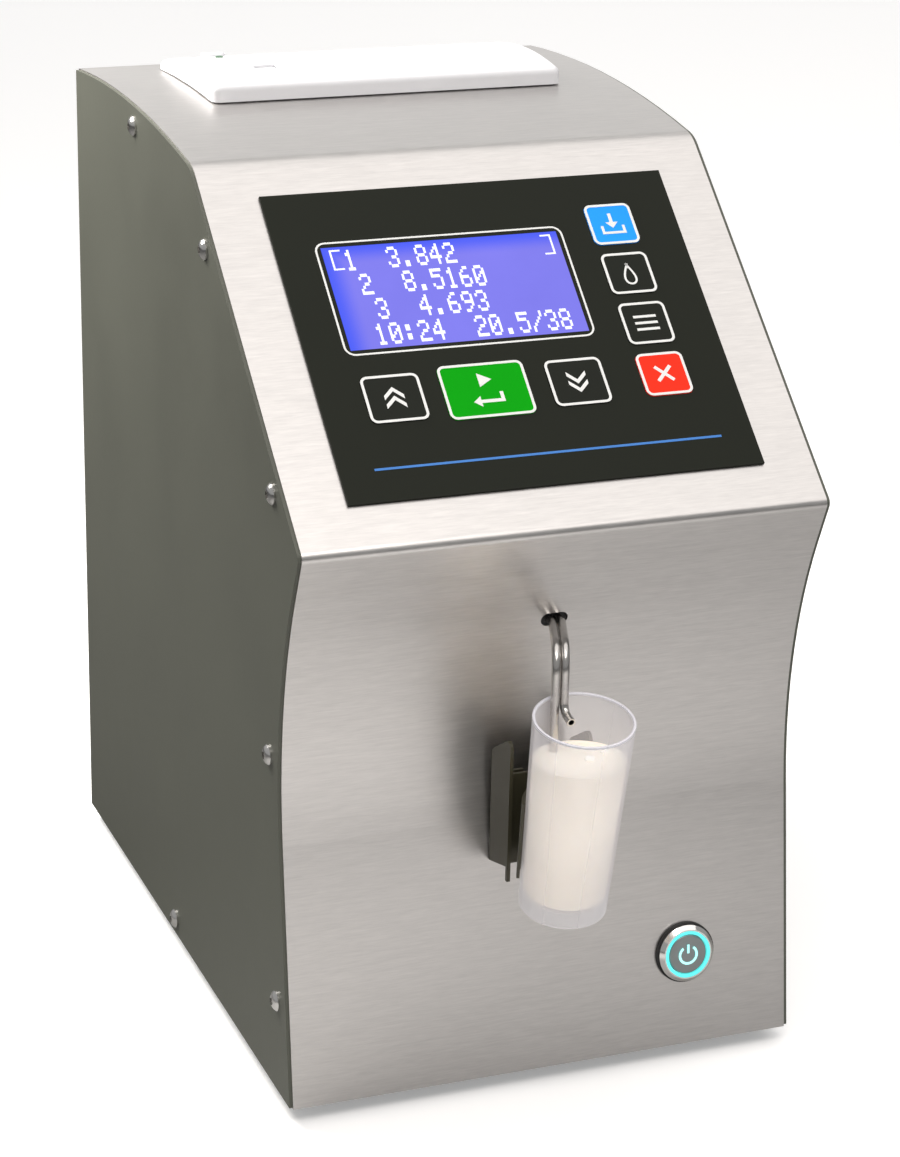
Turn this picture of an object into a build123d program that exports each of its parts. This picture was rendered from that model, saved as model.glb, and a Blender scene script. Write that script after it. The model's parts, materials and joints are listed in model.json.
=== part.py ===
from build123d import *
import os
from math import atan2, cos, hypot, pi, radians, sin, sqrt, tan

# A bench milk analyzer: a folded steel housing with a sloped control panel, a strip printer let
# into its top, and a hollow front where two steel tubes dip into a sample cup on a clip.
# Millimetres, +Z up, the front towards -Y, the origin on the table under the middle of the whole
# object. A place is given as x, its depth in front of the housing's back, and its height above
# the housing's bottom edge.

# Housing
width = 152.0
side_sheet = 1.0
cover_sheet = 1.2
base_sheet = 1.5
rear_sheet = 1.2
seam = 0.3
side_reveal = 0.4
flange_width = 12.0
foot_height = 5.0
back_height = 247.4
bend_height = 244.0
nose_height = 163.0
top_depth = 124.0
nose_depth = 220.9
base_depth = 214.6
top_rise = 3.9
waist_depth = 199.8
waist_height = 113.9
waist_radius = 143.0
bend_radius = 11.9
nose_radius = 2.5

# Screws and feet
screw_head_radius = 2.9
screw_head_height = 1.7
screw_radius = 1.4
screw_length = 5.0
screw_gap = 0.1
socket_radius = 1.2
socket_depth = 1.0
top_screw_depth = 67.2
slope_screw_inset = 23.8
edge_screw_inset = 6.0
front_screw_inset = 8.0
front_screw_heights = (98.7, 28.0)
base_screw_depth = 102.1
base_screw_height = 5.6
rear_screw_x = 60.0
foot_radius = 7.5
foot_inset = 26.0
foot_recess_radius = 3.6
foot_recess_depth = 2.6

# Keypad and display
overlay_width = 119.5
overlay_length = 99.85
overlay_x = 0.55
overlay_down = 62.3
overlay_thickness = 0.8
window_width = 69.2
window_length = 33.9
window_x = -11.7
window_down = 47.9
key_proud = 0.25
key_gap = 0.15
key_flange = 0.8
key_flange_thickness = 0.8
key_travel = 0.4
key_corner = 2.0
column_key_width = 13.9
column_key_length = 13.7
column_key_x = 40.25
column_key_start = 30.05
column_key_pitch = 16.96
arrow_key_width = 16.5
arrow_key_length = 14.8
up_key_x = -38.2
down_key_x = 14.6
start_key_width = 24.7
start_key_length = 17.2
start_key_x = -12.0
key_row_down = 81.0
dome_radius = 3.0
dome_height = 0.25
board_thickness = 1.6
glass_margin = 1.75
glass_thickness = 2.0
hole_gap = 0.5
lcd_frame_margin = 3.2
lcd_frame_depth = 4.3
lcd_frame_wall = 1.0
lcd_board_margin = 9.0
lcd_board_margin_down = 6.0
stud_radius = 1.8

# Power button
power_x = 43.3
power_height = 27.7
power_flange_radius = 8.4
power_flange_thickness = 2.0
power_chamfer = 1.1
power_barrel_radius = 7.8
power_barrel_length = 17.0
power_cap_radius = 5.75
power_cap_gap = 0.12
power_ring_radius = 6.85
power_ring_thickness = 1.1
power_travel = 2.0
power_seal_radius = 8.9
power_seal_thickness = 0.75
nut_thickness = 2.5
nut_radius = 10.5

# Tubes and grommet
tube_radius = 1.2
tube_bore = 0.8
tube_spacing = 2.6
tube_height = 133.9
slot_x = 0.2
slot_width = 7.8
slot_height = 4.0
slot_web = 1.4
intake_x = -1.2
tube_inner_run = 14.0
tube_spread = 6.9
tube_turn_inset = 7.5
tube_exit_reach = 2.1
tube_drop_depth = 231.1
tube_sideways = -6.85
tube_bend = 6.5
intake_end_height = 70.0
return_turn_drop = 17.6
return_tip_drop = 1.2
return_tip_reach = 5.3
return_tip_bend = 3.3

# Sample cup and its holder
cup_x = -3.8
cup_base_depth = 231.0
cup_base_height = 59.6
cup_height = 59.0
cup_base_radius = 12.0
cup_rim_radius = 13.75
cup_wall = 0.8
cup_skirt = 4.5
cup_floor = 1.0
cup_tilt = 9.9
clip_start = 8.0
clip_height = 24.0
clip_sheet = 0.8
clip_gap = 0.3
clip_half_angle = 75.0
clip_stem_width = 10.0
bracket_width = 24.0
bracket_sheet = 1.0
bracket_front = 220.0
web_depth = 217.5
web_low = 67.0
web_high = 93.5
wing_low = 62.7
wing_edge_front = 66.8
wing_edge_back = 63.5
wing_lip = 1.2
wing_high = 105.0
wing_back_high = 97.0
tab_width = 8.0
tab_low = 70.0
tab_high = 90.0

# Printer
bezel_width = 109.2
bezel_x = 1.2
bezel_length = 58.0
bezel_back = 13.5
bezel_back_rise = 3.9
bezel_front_rise = 7.0
bezel_arch = 3.2
bezel_corner = 2.5
bezel_edge = 2.0
bezel_gap = 0.4
rim_half_width = 47.0
rim_back = 15.5
rim_front = 68.5
rim_drop = 0.4
rim_length = 3.2
cutout_gap = 0.4
bay_left = -24.1
bay_right = 36.1
bay_drop = 42.0
bay_wall = 1.8
lid_thickness = 3.0
lid_front = 65.6
lid_gap = 0.3
hinge_depth = 21.5
hinge_radius = 2.6
hinge_pin_radius = 1.0
hinge_overlap = 4.0
hinge_room = 0.8
running_gap = 0.05
ear_thickness = 2.0
platen_depth = 58.5
platen_rise = 0.3
platen_radius = 3.4
platen_shaft = 1.5
head_gap = 0.5
head_drop = 7.0
head_rise = 2.5
roll_radius = 16.0
roll_core = 6.0
roll_depth = 39.0
release_x = -33.3
release_width = 7.3
release_back = 52.0
release_length = 15.4
release_proud = 0.1
release_pad_length = 3.7
release_pad_rise = 0.8
release_chamfer = 0.4
feed_x = -38.2
feed_depth = 20.4
feed_width = 7.5
feed_length = 4.5
feed_proud = 1.25
button_gap = 0.25
button_flange = 0.8
button_flange_rise = 1.8
led_x = -40.0
led_depth = 33.5
led_radius = 1.25

# Inside: board and ports
main_inset = 14.0
main_width = 104.0
main_low = 22.0
main_high = 150.0
main_gap = 10.0
standoff_radius = 2.5
standoff_inset = 5.0
chips = ((52, 73, 16, 16, 1.8), (24, 76, 11, 18, 2.4), (80, 70, 9, 9, 1.5), (26, 38, 26, 8, 8.0),
         (72, 36, 30, 8, 8.0), (22, 110, 34, 9, 8.0), (84, 106, 20, 14, 11.0))
capacitors = ((62, 108), (50, 108), (94, 40))
capacitor_radius = 4.0
capacitor_length = 12.0
serial_inset = 37.0
port_height = 36.0
port_reach = 6.0
shell_width = 17.0
shell_height = 8.4
serial_body_width = 30.8
serial_body_height = 12.4
shell_corner = 2.2
jack_spacing = 25.0
jack_radius = 2.7
jack_bore = 1.25
jack_length = 5.0
dc_inset = 86.5
dc_width = 9.0
dc_height = 11.0
dc_bore = 2.75
dc_pin = 1.0
dc_hole_depth = 9.0
dc_reach = 0.5

# Inside: measuring cell, pump and hoses
cell_inset = 31.0
cell_width = 24.0
cell_back = 115.0
cell_length = 70.0
cell_low = 60.0
cell_height = 24.0
barb_radius = 1.35
barb_height = 10.0
barb_inset = 10.0
cell_bracket_inset = 20.0
cell_bracket_gap = 3.0
sensor_radius = 9.0
sensor_thickness = 6.0
bracket_plate = 1.5
pump_plate_margin = 3.0
pump_foot_length = 15.0
pump_inset = 41.0
pump_height = 62.0
pump_depth = 131.5
pump_radius = 22.0
pump_track = 17.5
pump_length = 18.0
pump_wall = 2.5
roller_radius = 4.0
roller_orbit = 10.6
roller_pin = 1.2
roller_count = 3
roller_room = 4.0
roller_length = 7.0
pump_shaft = 1.5
pump_motor_radius = 15.0
pump_motor_length = 30.0
pump_hose_thickness = 2.3
pump_hose_width = 5.0
pump_hose_gap = 0.2
pump_hose_rise = 27.0
hose_radius = 2.2
hose_bore = 1.4
hose_overlap = 6.0
hose_bend = 10.0

cover_half = width / 2 - side_sheet
cell_x = cell_inset - width / 2
pump_x = width / 2 - pump_inset
main_left = main_inset - width / 2
main_right = main_left + main_width
serial_x = main_left + serial_inset
dc_x = main_left + dc_inset
roller_back = pump_depth + pump_wall + roller_room
bezel_back_height = back_height + bezel_back_rise
bezel_front_height = back_height + bezel_front_rise
rim_bottom = back_height - rim_drop
rim_top = rim_bottom + rim_length
bay_bottom = rim_bottom - bay_drop
platen_height = rim_bottom + platen_rise
head_low = rim_bottom - head_drop
head_high = rim_bottom + head_rise
button_flange_low = rim_bottom + button_flange_rise
button_flange_high = button_flange_low + button_flange
tilt = radians(cup_tilt)
front_reach = cup_base_depth + cup_height * sin(tilt) + cup_rim_radius * cos(tilt)
back_y = (front_reach - port_reach) / 2
slope_run = nose_depth - top_depth
slope_fall = bend_height - nose_height
slope_length = hypot(slope_run, slope_fall)
low_lean = atan2(base_depth - waist_depth, waist_height)
high_lean = atan2(nose_depth - waist_depth, nose_height - waist_height)
waist_reach = waist_radius * tan((low_lean + high_lean) / 2)
waist_low = waist_height - waist_reach * cos(low_lean)
waist_high = waist_height + waist_reach * cos(high_lean)
centre_depth = waist_depth + waist_reach * sin(low_lean) + waist_radius * cos(low_lean)
centre_height = waist_low + waist_radius * sin(low_lean)
sunk = 1.0


def spot(x, depth, height):
    """The point at x, so far in front of the back, so high above the housing's bottom edge."""
    return Vector(x, back_y - depth, foot_height + height)


def side_point(depth, height):
    """The same place in the plane of the side view."""
    return (back_y - depth, foot_height + height)


def front_depth(height):
    """How far forward the front is at that height: flat low down and under the nose, round between."""
    if height < waist_low:
        return base_depth - height * tan(low_lean)
    if height > waist_high:
        return nose_depth - (nose_height - height) * tan(high_lean)
    return centre_depth - sqrt(waist_radius**2 - (height - centre_height) ** 2)


tube_exit_depth = front_depth(tube_height) + tube_exit_reach
tube_turn_depth = front_depth(tube_height) - tube_turn_inset
tube_inner_depth = tube_turn_depth - tube_inner_run


def front_plane(x, height, lift=0.0):
    """A plane on the front, its normal outwards and its y axis up."""
    rise = (centre_height - height) / waist_radius
    rise = min(sin(low_lean), max(-sin(high_lean), rise))
    normal = Vector(0, -sqrt(1 - rise**2), rise)
    origin = spot(x, front_depth(height), height) + normal * lift
    return Plane(origin=origin, x_dir=(1, 0, 0), z_dir=normal)


def panel_plane(x, down, lift=0.0):
    """A plane on the sloped panel, so far down from its upper corner, its y axis up the slope."""
    along = Vector(0, -slope_run, -slope_fall) * (1 / slope_length)
    normal = Vector(0, -slope_fall, slope_run) * (1 / slope_length)
    origin = spot(x, top_depth, bend_height) + along * down + normal * lift
    return Plane(origin=origin, x_dir=(1, 0, 0), z_dir=normal)


def top_height(depth):
    """The height of the slightly arched top at that depth."""
    share = depth / top_depth
    return back_height + (bend_height - back_height) * share + 4 * top_rise * share * (1 - share)


def crown_height(depth):
    """The height of the printer's arched face at that depth."""
    share = (depth - bezel_back) / bezel_length
    level = bezel_back_height + (bezel_front_height - bezel_back_height) * share
    return level + 4 * bezel_arch * share * (1 - share)


def crown_arc(back, front, lift):
    """Three points of the printer's arched face between two depths, so much higher."""
    return [side_point(depth, crown_height(depth) + lift) for depth in (back, (back + front) / 2, front)]


def crowned_block(back, front, lift, level, x):
    """Side view section at x from a level up to the printer's arched face."""
    top = crown_arc(back, front, lift)
    with BuildSketch(Plane.YZ.offset(x)) as section:
        with BuildLine():
            ThreePointArc(*top)
            Polyline(top[2], side_point(front, level), side_point(back, level), top[0])
        make_face()
    return section.sketch


def crowned_sheet(back, front, thickness, x):
    """Side view section at x of a sheet that bends with the printer's arched face."""
    top = crown_arc(back, front, 0)
    base = crown_arc(back, front, -thickness)
    with BuildSketch(Plane.YZ.offset(x)) as section:
        with BuildLine():
            ThreePointArc(*top)
            Line(top[2], base[2])
            ThreePointArc(base[2], base[1], base[0])
            Line(base[0], top[0])
        make_face()
    return section.sketch


def facing(x, depth, height, normal):
    """A plane at a spot with the given normal."""
    across = (0, 1, 0) if abs(normal[0]) > 0.5 else (1, 0, 0)
    return Plane(origin=spot(x, depth, height), x_dir=across, z_dir=normal)


forward = (0, -1, 0)
up = (0, 0, 1)


def slab(x, depth, height, mode=Mode.ADD):
    """A block between pairs of x, depth and height values."""
    with Locations(spot(sum(x) / 2, sum(depth) / 2, sum(height) / 2)):
        Box(x[1] - x[0], depth[1] - depth[0], height[1] - height[0], mode=mode)


def rod(plane, radius, length, mode=Mode.ADD):
    """A round bar that stands on a plane."""
    with BuildSketch(plane) as section:
        Circle(radius)
    extrude(section.sketch, amount=length, mode=mode)


def plate(plane, size, thickness, corner=0.0, mode=Mode.ADD):
    """A flat rectangle with optional round corners that stands on a plane."""
    with BuildSketch(plane) as section:
        if corner:
            RectangleRounded(*size, corner)
        else:
            Rectangle(*size)
    extrude(section.sketch, amount=thickness, mode=mode)


def button_screw(plane, length=screw_length):
    """A round-headed screw with a hexagon socket, its head standing on the plane."""
    across = Plane(origin=plane.origin, x_dir=plane.x_dir, z_dir=plane.x_dir.cross(plane.z_dir))
    with BuildSketch(across) as section:
        with BuildLine():
            Polyline((0, screw_head_height), (0, -length), (screw_radius, -length), (screw_radius, 0),
                     (screw_head_radius, 0), (screw_head_radius, 0.3 * screw_head_height))
            ThreePointArc((screw_head_radius, 0.3 * screw_head_height),
                          (0.66 * screw_head_radius, 0.82 * screw_head_height), (0, screw_head_height))
        make_face()
    revolve(section.sketch, axis=Axis(plane.origin, plane.z_dir))
    with BuildSketch(plane.offset(screw_head_height - socket_depth)) as socket:
        RegularPolygon(socket_radius, 6)
    extrude(socket.sketch, amount=socket_depth + sunk, mode=Mode.SUBTRACT)


def cover_band(thickness, x):
    """Section of the cover: front, slope and top in one run, so thick, on the side view plane at x."""
    nose, bend = side_point(nose_depth, nose_height), side_point(top_depth, bend_height)
    top_middle = side_point(top_depth / 2, top_height(top_depth / 2))
    with BuildSketch(Plane.YZ.offset(x)) as band:
        with BuildLine():
            FilletPolyline(side_point(base_depth, 0), side_point(waist_depth, waist_height), nose,
                           radius=waist_radius)
            Line(nose, bend)
            ThreePointArc(bend, top_middle, side_point(0, back_height))
            offset(amount=thickness, side=Side.RIGHT, kind=Kind.INTERSECTION)
        make_face()
        for corner, radius in ((bend, bend_radius), (nose, nose_radius)):
            outer, inner = band.vertices().sort_by_distance(Vector(*corner))[0:2]
            fillet(outer, radius=radius)
            if radius > thickness:
                inner = band.vertices().sort_by_distance(inner)[0]
                fillet(inner, radius=radius - thickness)
    return band.sketch


def side_outline(inset, x):
    """The closed outline of the housing from the side, drawn in by inset, on the plane at x."""
    nose, bend = side_point(nose_depth, nose_height), side_point(top_depth, bend_height)
    top_middle = side_point(top_depth / 2, top_height(top_depth / 2))
    with BuildSketch(Plane.YZ.offset(x)) as outline:
        with BuildLine():
            FilletPolyline(side_point(base_depth, 0), side_point(waist_depth, waist_height), nose,
                           radius=waist_radius)
            Line(nose, bend)
            ThreePointArc(bend, top_middle, side_point(0, back_height))
            Polyline(side_point(0, back_height), side_point(0, 0), side_point(base_depth, 0))
        make_face()
        for corner, radius in ((bend, bend_radius), (nose, nose_radius)):
            fillet(outline.vertices().sort_by_distance(Vector(*corner))[0], radius=radius)
        offset(amount=-inset, mode=Mode.REPLACE)
    return outline.sketch


def side_screw_spots():
    """Depth and height of each screw that holds a side panel."""
    spots = [(top_screw_depth, top_height(top_screw_depth) - edge_screw_inset)]
    for down in (slope_screw_inset, slope_length - slope_screw_inset):
        place = panel_plane(0, down, -edge_screw_inset).origin
        spots.append((back_y - place.Y, place.Z - foot_height))
    for height in front_screw_heights:
        spots.append((front_depth(height) - front_screw_inset, height))
    spots.append((base_screw_depth, base_screw_height))
    return spots


def rear_screw_spots():
    """x and height of each screw that holds the rear panel."""
    low, high = base_screw_height, back_height - cover_sheet - edge_screw_inset
    return [(x, height) for x in (-rear_screw_x, rear_screw_x) for height in (low, high)]


def foot_spots():
    """x and depth of each foot."""
    across = width / 2 - foot_inset
    return [(x, depth) for x in (-across, across) for depth in (foot_inset, base_depth - foot_inset)]


keys = {
    "key_up": (up_key_x, key_row_down, arrow_key_width, arrow_key_length),
    "key_start": (start_key_x, key_row_down, start_key_width, start_key_length),
    "key_down": (down_key_x, key_row_down, arrow_key_width, arrow_key_length),
}
for row, key_name in enumerate(("key_save", "key_clean", "key_menu", "key_exit")):
    place_down = column_key_start + row * column_key_pitch
    keys[key_name] = (column_key_x, place_down, column_key_width, column_key_length)

wide_front = front_depth(flange_width) - flange_width - 4 * seam
tab_depth = front_depth(wing_low) + seam
bracket_screw_spots = [cup_x + side * (bracket_width / 2 - tab_width / 2 - bracket_sheet) for side in (-1, 1)]
bracket_screw_height = (tab_low + tab_high) / 2
lcd_back = -(seam + glass_thickness + lcd_frame_depth)
main_front = rear_sheet + main_gap + board_thickness
hose_end = pump_hose_thickness / 2 + pump_hose_gap
leg_offset = pump_track - hose_end
leg_top = pump_height + pump_hose_rise
parts = []


# Housing
with BuildPart() as front_cover:
    extrude(cover_band(cover_sheet, -cover_half), amount=2 * cover_half)
    for start in (-cover_half, cover_half - cover_sheet):
        extrude(cover_band(flange_width, start), amount=cover_sheet)
    slab((-cover_half, cover_half), (-sunk, rear_sheet + seam), (0, back_height - cover_sheet - seam / 2),
         Mode.SUBTRACT)
    slab((-cover_half, cover_half), (wide_front, 2 * base_depth), (-flange_width, 0), Mode.SUBTRACT)
    slab((-cover_half, cover_half), (rear_sheet + seam, rear_sheet + seam + cover_sheet),
         (back_height - flange_width, back_height - cover_sheet / 2))
    for depth, height in side_screw_spots()[:-1]:
        rod(facing(-width, depth, height, (1, 0, 0)), screw_radius + screw_gap, 2 * width, Mode.SUBTRACT)
    for x, height in rear_screw_spots():
        rod(facing(x, -sunk, height, forward), screw_radius + screw_gap, 3 * flange_width, Mode.SUBTRACT)
    around = 2 * (glass_margin + hole_gap)
    plate(panel_plane(window_x, window_down, -5), (window_width + around, window_length + around), 10,
          mode=Mode.SUBTRACT)
    for x, down, key_width, key_length in keys.values():
        room = 2 * (key_flange + seam)
        plate(panel_plane(x, down, -5), (key_width + room, key_length + room), 10, mode=Mode.SUBTRACT)
    rod(front_plane(power_x, power_height, -10), power_barrel_radius + screw_gap, 20, Mode.SUBTRACT)
    with BuildSketch(facing(slot_x, front_depth(tube_height) - 8, tube_height, forward)) as tube_slot:
        SlotOverall(slot_width, slot_height)
    extrude(tube_slot.sketch, amount=16, mode=Mode.SUBTRACT)
    for x in bracket_screw_spots:
        rod(facing(x, tab_depth - 10, bracket_screw_height, forward), screw_radius + screw_gap, 20,
            Mode.SUBTRACT)
    slab((-rim_half_width - cutout_gap, rim_half_width + cutout_gap),
         (rim_back - cutout_gap, rim_front + cutout_gap),
         (back_height - 2 * flange_width, back_height + 2 * flange_width), Mode.SUBTRACT)

with BuildPart() as base_plate:
    inner_half = cover_half - cover_sheet - seam
    base_rear = rear_sheet + seam
    base_front = front_depth(base_sheet) - cover_sheet - 2 * seam
    slab((-inner_half, inner_half), (base_rear, base_front), (0, base_sheet))
    slab((-cover_half, cover_half), (base_rear + base_sheet, wide_front), (0, base_sheet))
    for start in (-cover_half, cover_half - base_sheet):
        slab((start, start + base_sheet), (base_rear + base_sheet + seam, wide_front), (0, flange_width))
    slab((-inner_half, inner_half), (base_rear, base_rear + base_sheet), (0, flange_width))
    rod(facing(-width, base_screw_depth, base_screw_height, (1, 0, 0)), screw_radius + screw_gap, 2 * width,
        Mode.SUBTRACT)
    for x, height in rear_screw_spots():
        rod(facing(x, -sunk, height, forward), screw_radius + screw_gap, 3 * flange_width, Mode.SUBTRACT)
    for x, depth in foot_spots():
        rod(facing(x, depth, -sunk, up), screw_radius + screw_gap, 2 * flange_width, Mode.SUBTRACT)

with BuildPart() as rear_panel:
    slab((-cover_half, cover_half), (0, rear_sheet), (0, back_height - cover_sheet - seam))
    for x, height in rear_screw_spots():
        rod(facing(x, -sunk, height, forward), screw_radius + screw_gap, 2 * flange_width, Mode.SUBTRACT)
    vent_plane = facing(0, -sunk, 195, forward)
    with BuildSketch(vent_plane) as vents:
        with GridLocations(34, 8, 3, 5):
            SlotOverall(26, 3)
    extrude(vents.sketch, amount=2 * flange_width, mode=Mode.SUBTRACT)
    shell_hole = (shell_width + 2 * hole_gap, shell_height + 2 * hole_gap)
    dc_hole = (dc_width + 2 * seam, dc_height + 2 * seam)
    plate(facing(serial_x, -sunk, port_height, forward), shell_hole, 4, mode=Mode.SUBTRACT)
    plate(facing(dc_x, -sunk, port_height, forward), dc_hole, 4, mode=Mode.SUBTRACT)
    for jack_x in (serial_x - jack_spacing / 2, serial_x + jack_spacing / 2):
        rod(facing(jack_x, -sunk, port_height, forward), screw_radius + screw_gap, 4, Mode.SUBTRACT)
    for x in (main_left + standoff_inset, main_right - standoff_inset):
        for height in (main_low + standoff_inset, main_high - standoff_inset):
            rod(facing(x, rear_sheet, height, forward), standoff_radius, main_gap)

with BuildPart() as side_panel_left:
    extrude(side_outline(side_reveal, -width / 2), amount=side_sheet)
    for depth, height in side_screw_spots():
        rod(facing(-width, depth, height, (1, 0, 0)), screw_radius + screw_gap, width, Mode.SUBTRACT)

with BuildPart() as side_panel_right:
    extrude(side_outline(side_reveal, cover_half), amount=side_sheet)
    for depth, height in side_screw_spots():
        rod(facing(0, depth, height, (1, 0, 0)), screw_radius + screw_gap, width, Mode.SUBTRACT)

with BuildPart() as side_screws_left:
    for depth, height in side_screw_spots():
        button_screw(facing(-width / 2, depth, height, (-1, 0, 0)))

with BuildPart() as side_screws_right:
    for depth, height in side_screw_spots():
        button_screw(facing(width / 2, depth, height, (1, 0, 0)))

with BuildPart() as rear_screws:
    for x, height in rear_screw_spots():
        button_screw(facing(x, 0, height, (0, 1, 0)))

with BuildPart() as rubber_feet:
    for x, depth in foot_spots():
        with BuildSketch(facing(x, depth, 0, up)) as pad:
            Circle(foot_radius)
        extrude(pad.sketch, amount=-foot_height, taper=8)
        under = facing(x, depth, -foot_height - sunk, up)
        rod(under, foot_recess_radius, foot_recess_depth + sunk, Mode.SUBTRACT)
        rod(under, screw_radius + screw_gap, foot_height + 2 * sunk, Mode.SUBTRACT)

with BuildPart() as foot_screws:
    for x, depth in foot_spots():
        button_screw(facing(x, depth, foot_recess_depth - foot_height, (0, 0, -1)),
                     length=foot_height + base_sheet + 1)
        with BuildSketch(facing(x, depth, base_sheet, up)) as foot_nut:
            RegularPolygon(screw_head_radius, 6)
            Circle(screw_radius + running_gap, mode=Mode.SUBTRACT)
        extrude(foot_nut.sketch, amount=screw_head_height)
parts += [(front_cover, "front_cover"), (base_plate, "base_plate"), (rear_panel, "rear_panel"),
          (side_panel_left, "side_panel_left"), (side_panel_right, "side_panel_right"),
          (side_screws_left, "side_screws_left"), (side_screws_right, "side_screws_right"),
          (rear_screws, "rear_screws"), (rubber_feet, "rubber_feet"), (foot_screws, "foot_screws")]


# Keypad and display
with BuildPart() as keypad_overlay:
    plate(panel_plane(overlay_x, overlay_down), (overlay_width, overlay_length), overlay_thickness)
    plate(panel_plane(window_x, window_down, -sunk), (window_width, window_length), 2 * sunk,
          mode=Mode.SUBTRACT)
    for x, down, key_width, key_length in keys.values():
        room = 2 * key_gap
        plate(panel_plane(x, down, -sunk), (key_width + room, key_length + room), 2 * sunk,
              key_corner + key_gap, Mode.SUBTRACT)

with BuildPart() as display_window:
    plate(panel_plane(window_x, window_down), (window_width - running_gap, window_length - running_gap),
          overlay_thickness)

with BuildPart() as lcd_glass:
    glass_size = (window_width + 2 * glass_margin, window_length + 2 * glass_margin)
    plate(panel_plane(window_x, window_down, -seam), glass_size, -glass_thickness)

with BuildPart() as lcd_frame:
    frame_size = (glass_size[0] + lcd_frame_margin - 1, glass_size[1] + lcd_frame_margin - 1)
    plate(panel_plane(window_x, window_down, -seam - glass_thickness), frame_size, -lcd_frame_depth)
    inner_size = (frame_size[0] - 2 * lcd_frame_wall, frame_size[1] - 2 * lcd_frame_wall)
    plate(panel_plane(window_x, window_down, lcd_back), inner_size, lcd_frame_depth - lcd_frame_wall,
          mode=Mode.SUBTRACT)

lcd_board_size = (window_width + 2 * lcd_board_margin, window_length + 2 * lcd_board_margin_down)
with BuildPart() as lcd_board:
    plate(panel_plane(window_x, window_down, lcd_back), lcd_board_size, -board_thickness)
    for side in (-1, 1):
        for end in (-1, 1):
            across = window_x + side * (lcd_board_size[0] / 2 - 1.5 * stud_radius)
            down = window_down + end * (lcd_board_size[1] / 2 - 1.5 * stud_radius)
            rod(panel_plane(across, down, -cover_sheet), stud_radius, lcd_back + cover_sheet)

with BuildPart() as keypad_board:
    board_lift = -cover_sheet - seam
    row_left = up_key_x - arrow_key_width / 2 - 2
    row_right = column_key_x + column_key_width / 2 + 2
    row_top = key_row_down - start_key_length / 2 - sunk
    row_low = key_row_down + start_key_length / 2 + sunk
    plate(panel_plane((row_left + row_right) / 2, (row_top + row_low) / 2, board_lift),
          (row_right - row_left, row_low - row_top), -board_thickness)
    column_left = column_key_x - column_key_width / 2 - key_flange
    column_top = column_key_start - column_key_length / 2 - sunk
    plate(panel_plane((column_left + row_right) / 2, (column_top + row_low) / 2, board_lift),
          (row_right - column_left, row_low - column_top), -board_thickness)
    for x, down, key_width, key_length in keys.values():
        rod(panel_plane(x, down, board_lift), dome_radius, dome_height)
parts += [(keypad_overlay, "keypad_overlay"), (display_window, "display_window"), (lcd_glass, "lcd_glass"),
          (lcd_frame, "lcd_frame"), (lcd_board, "lcd_board"), (keypad_board, "keypad_board")]

key_low = board_lift + dome_height + key_travel + running_gap
for key_name, (x, down, key_width, key_length) in keys.items():
    with BuildPart() as key:
        key_face = (key_width, key_length)
        key_foot = (key_width + 2 * key_flange, key_length + 2 * key_flange)
        plate(panel_plane(x, down, key_low), key_face, overlay_thickness + key_proud - key_low, key_corner)
        plate(panel_plane(x, down, key_low), key_foot, -key_low - 2 * running_gap, key_corner)
    parts.append((key, key_name))


# Power button
seal_lift = running_gap
flange_lift = seal_lift + power_seal_thickness
power_top = flange_lift + power_flange_thickness
power_bore = power_cap_radius + power_cap_gap
with BuildPart() as power_button_seal:
    rod(front_plane(power_x, power_height, seal_lift), power_seal_radius, power_seal_thickness)
    rod(front_plane(power_x, power_height, seal_lift - sunk), power_barrel_radius + screw_gap,
        2 * sunk + power_seal_thickness, Mode.SUBTRACT)

with BuildPart() as power_button_body:
    rod(front_plane(power_x, power_height, flange_lift), power_flange_radius, power_flange_thickness)
    chamfer(power_button_body.edges().filter_by(GeomType.CIRCLE).sort_by(Axis.Y)[0], length=power_chamfer)
    rod(front_plane(power_x, power_height, flange_lift), power_barrel_radius, -power_barrel_length)
    above_top = front_plane(power_x, power_height, power_top + sunk)
    rod(above_top, power_ring_radius + screw_gap, -power_ring_thickness - sunk, Mode.SUBTRACT)
    rod(above_top, power_bore, -3 * power_travel - sunk, Mode.SUBTRACT)
    for side in (-1, 1):
        for end in (-1, 1):
            pin_place = front_plane(power_x, power_height, flange_lift - power_barrel_length)
            pin_foot = pin_place.from_local_coords((3 * side, 3 * end, 0))
            rod(Plane(origin=pin_foot, x_dir=(1, 0, 0), z_dir=pin_place.z_dir), 0.7, -5)

with BuildPart() as power_light_ring:
    rod(front_plane(power_x, power_height, power_top), power_ring_radius, screw_gap - power_ring_thickness)
    rod(above_top, power_bore + screw_gap, -3 * sunk, Mode.SUBTRACT)

with BuildPart() as power_button_cap:
    rod(front_plane(power_x, power_height, power_top - screw_gap), power_cap_radius,
        screw_gap - 2 * power_travel + seam)
    fillet(power_button_cap.edges().filter_by(GeomType.CIRCLE).sort_by(Axis.Y)[0], radius=0.4)

with BuildPart() as power_button_nut:
    with BuildSketch(front_plane(power_x, power_height, -cover_sheet - seam)) as nut_face:
        RegularPolygon(nut_radius, 6)
        Circle(power_barrel_radius + running_gap, mode=Mode.SUBTRACT)
    extrude(nut_face.sketch, amount=-nut_thickness)
parts += [(power_button_seal, "power_button_seal"), (power_button_body, "power_button_body"),
          (power_light_ring, "power_light_ring"), (power_button_cap, "power_button_cap"),
          (power_button_nut, "power_button_nut")]


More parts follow.
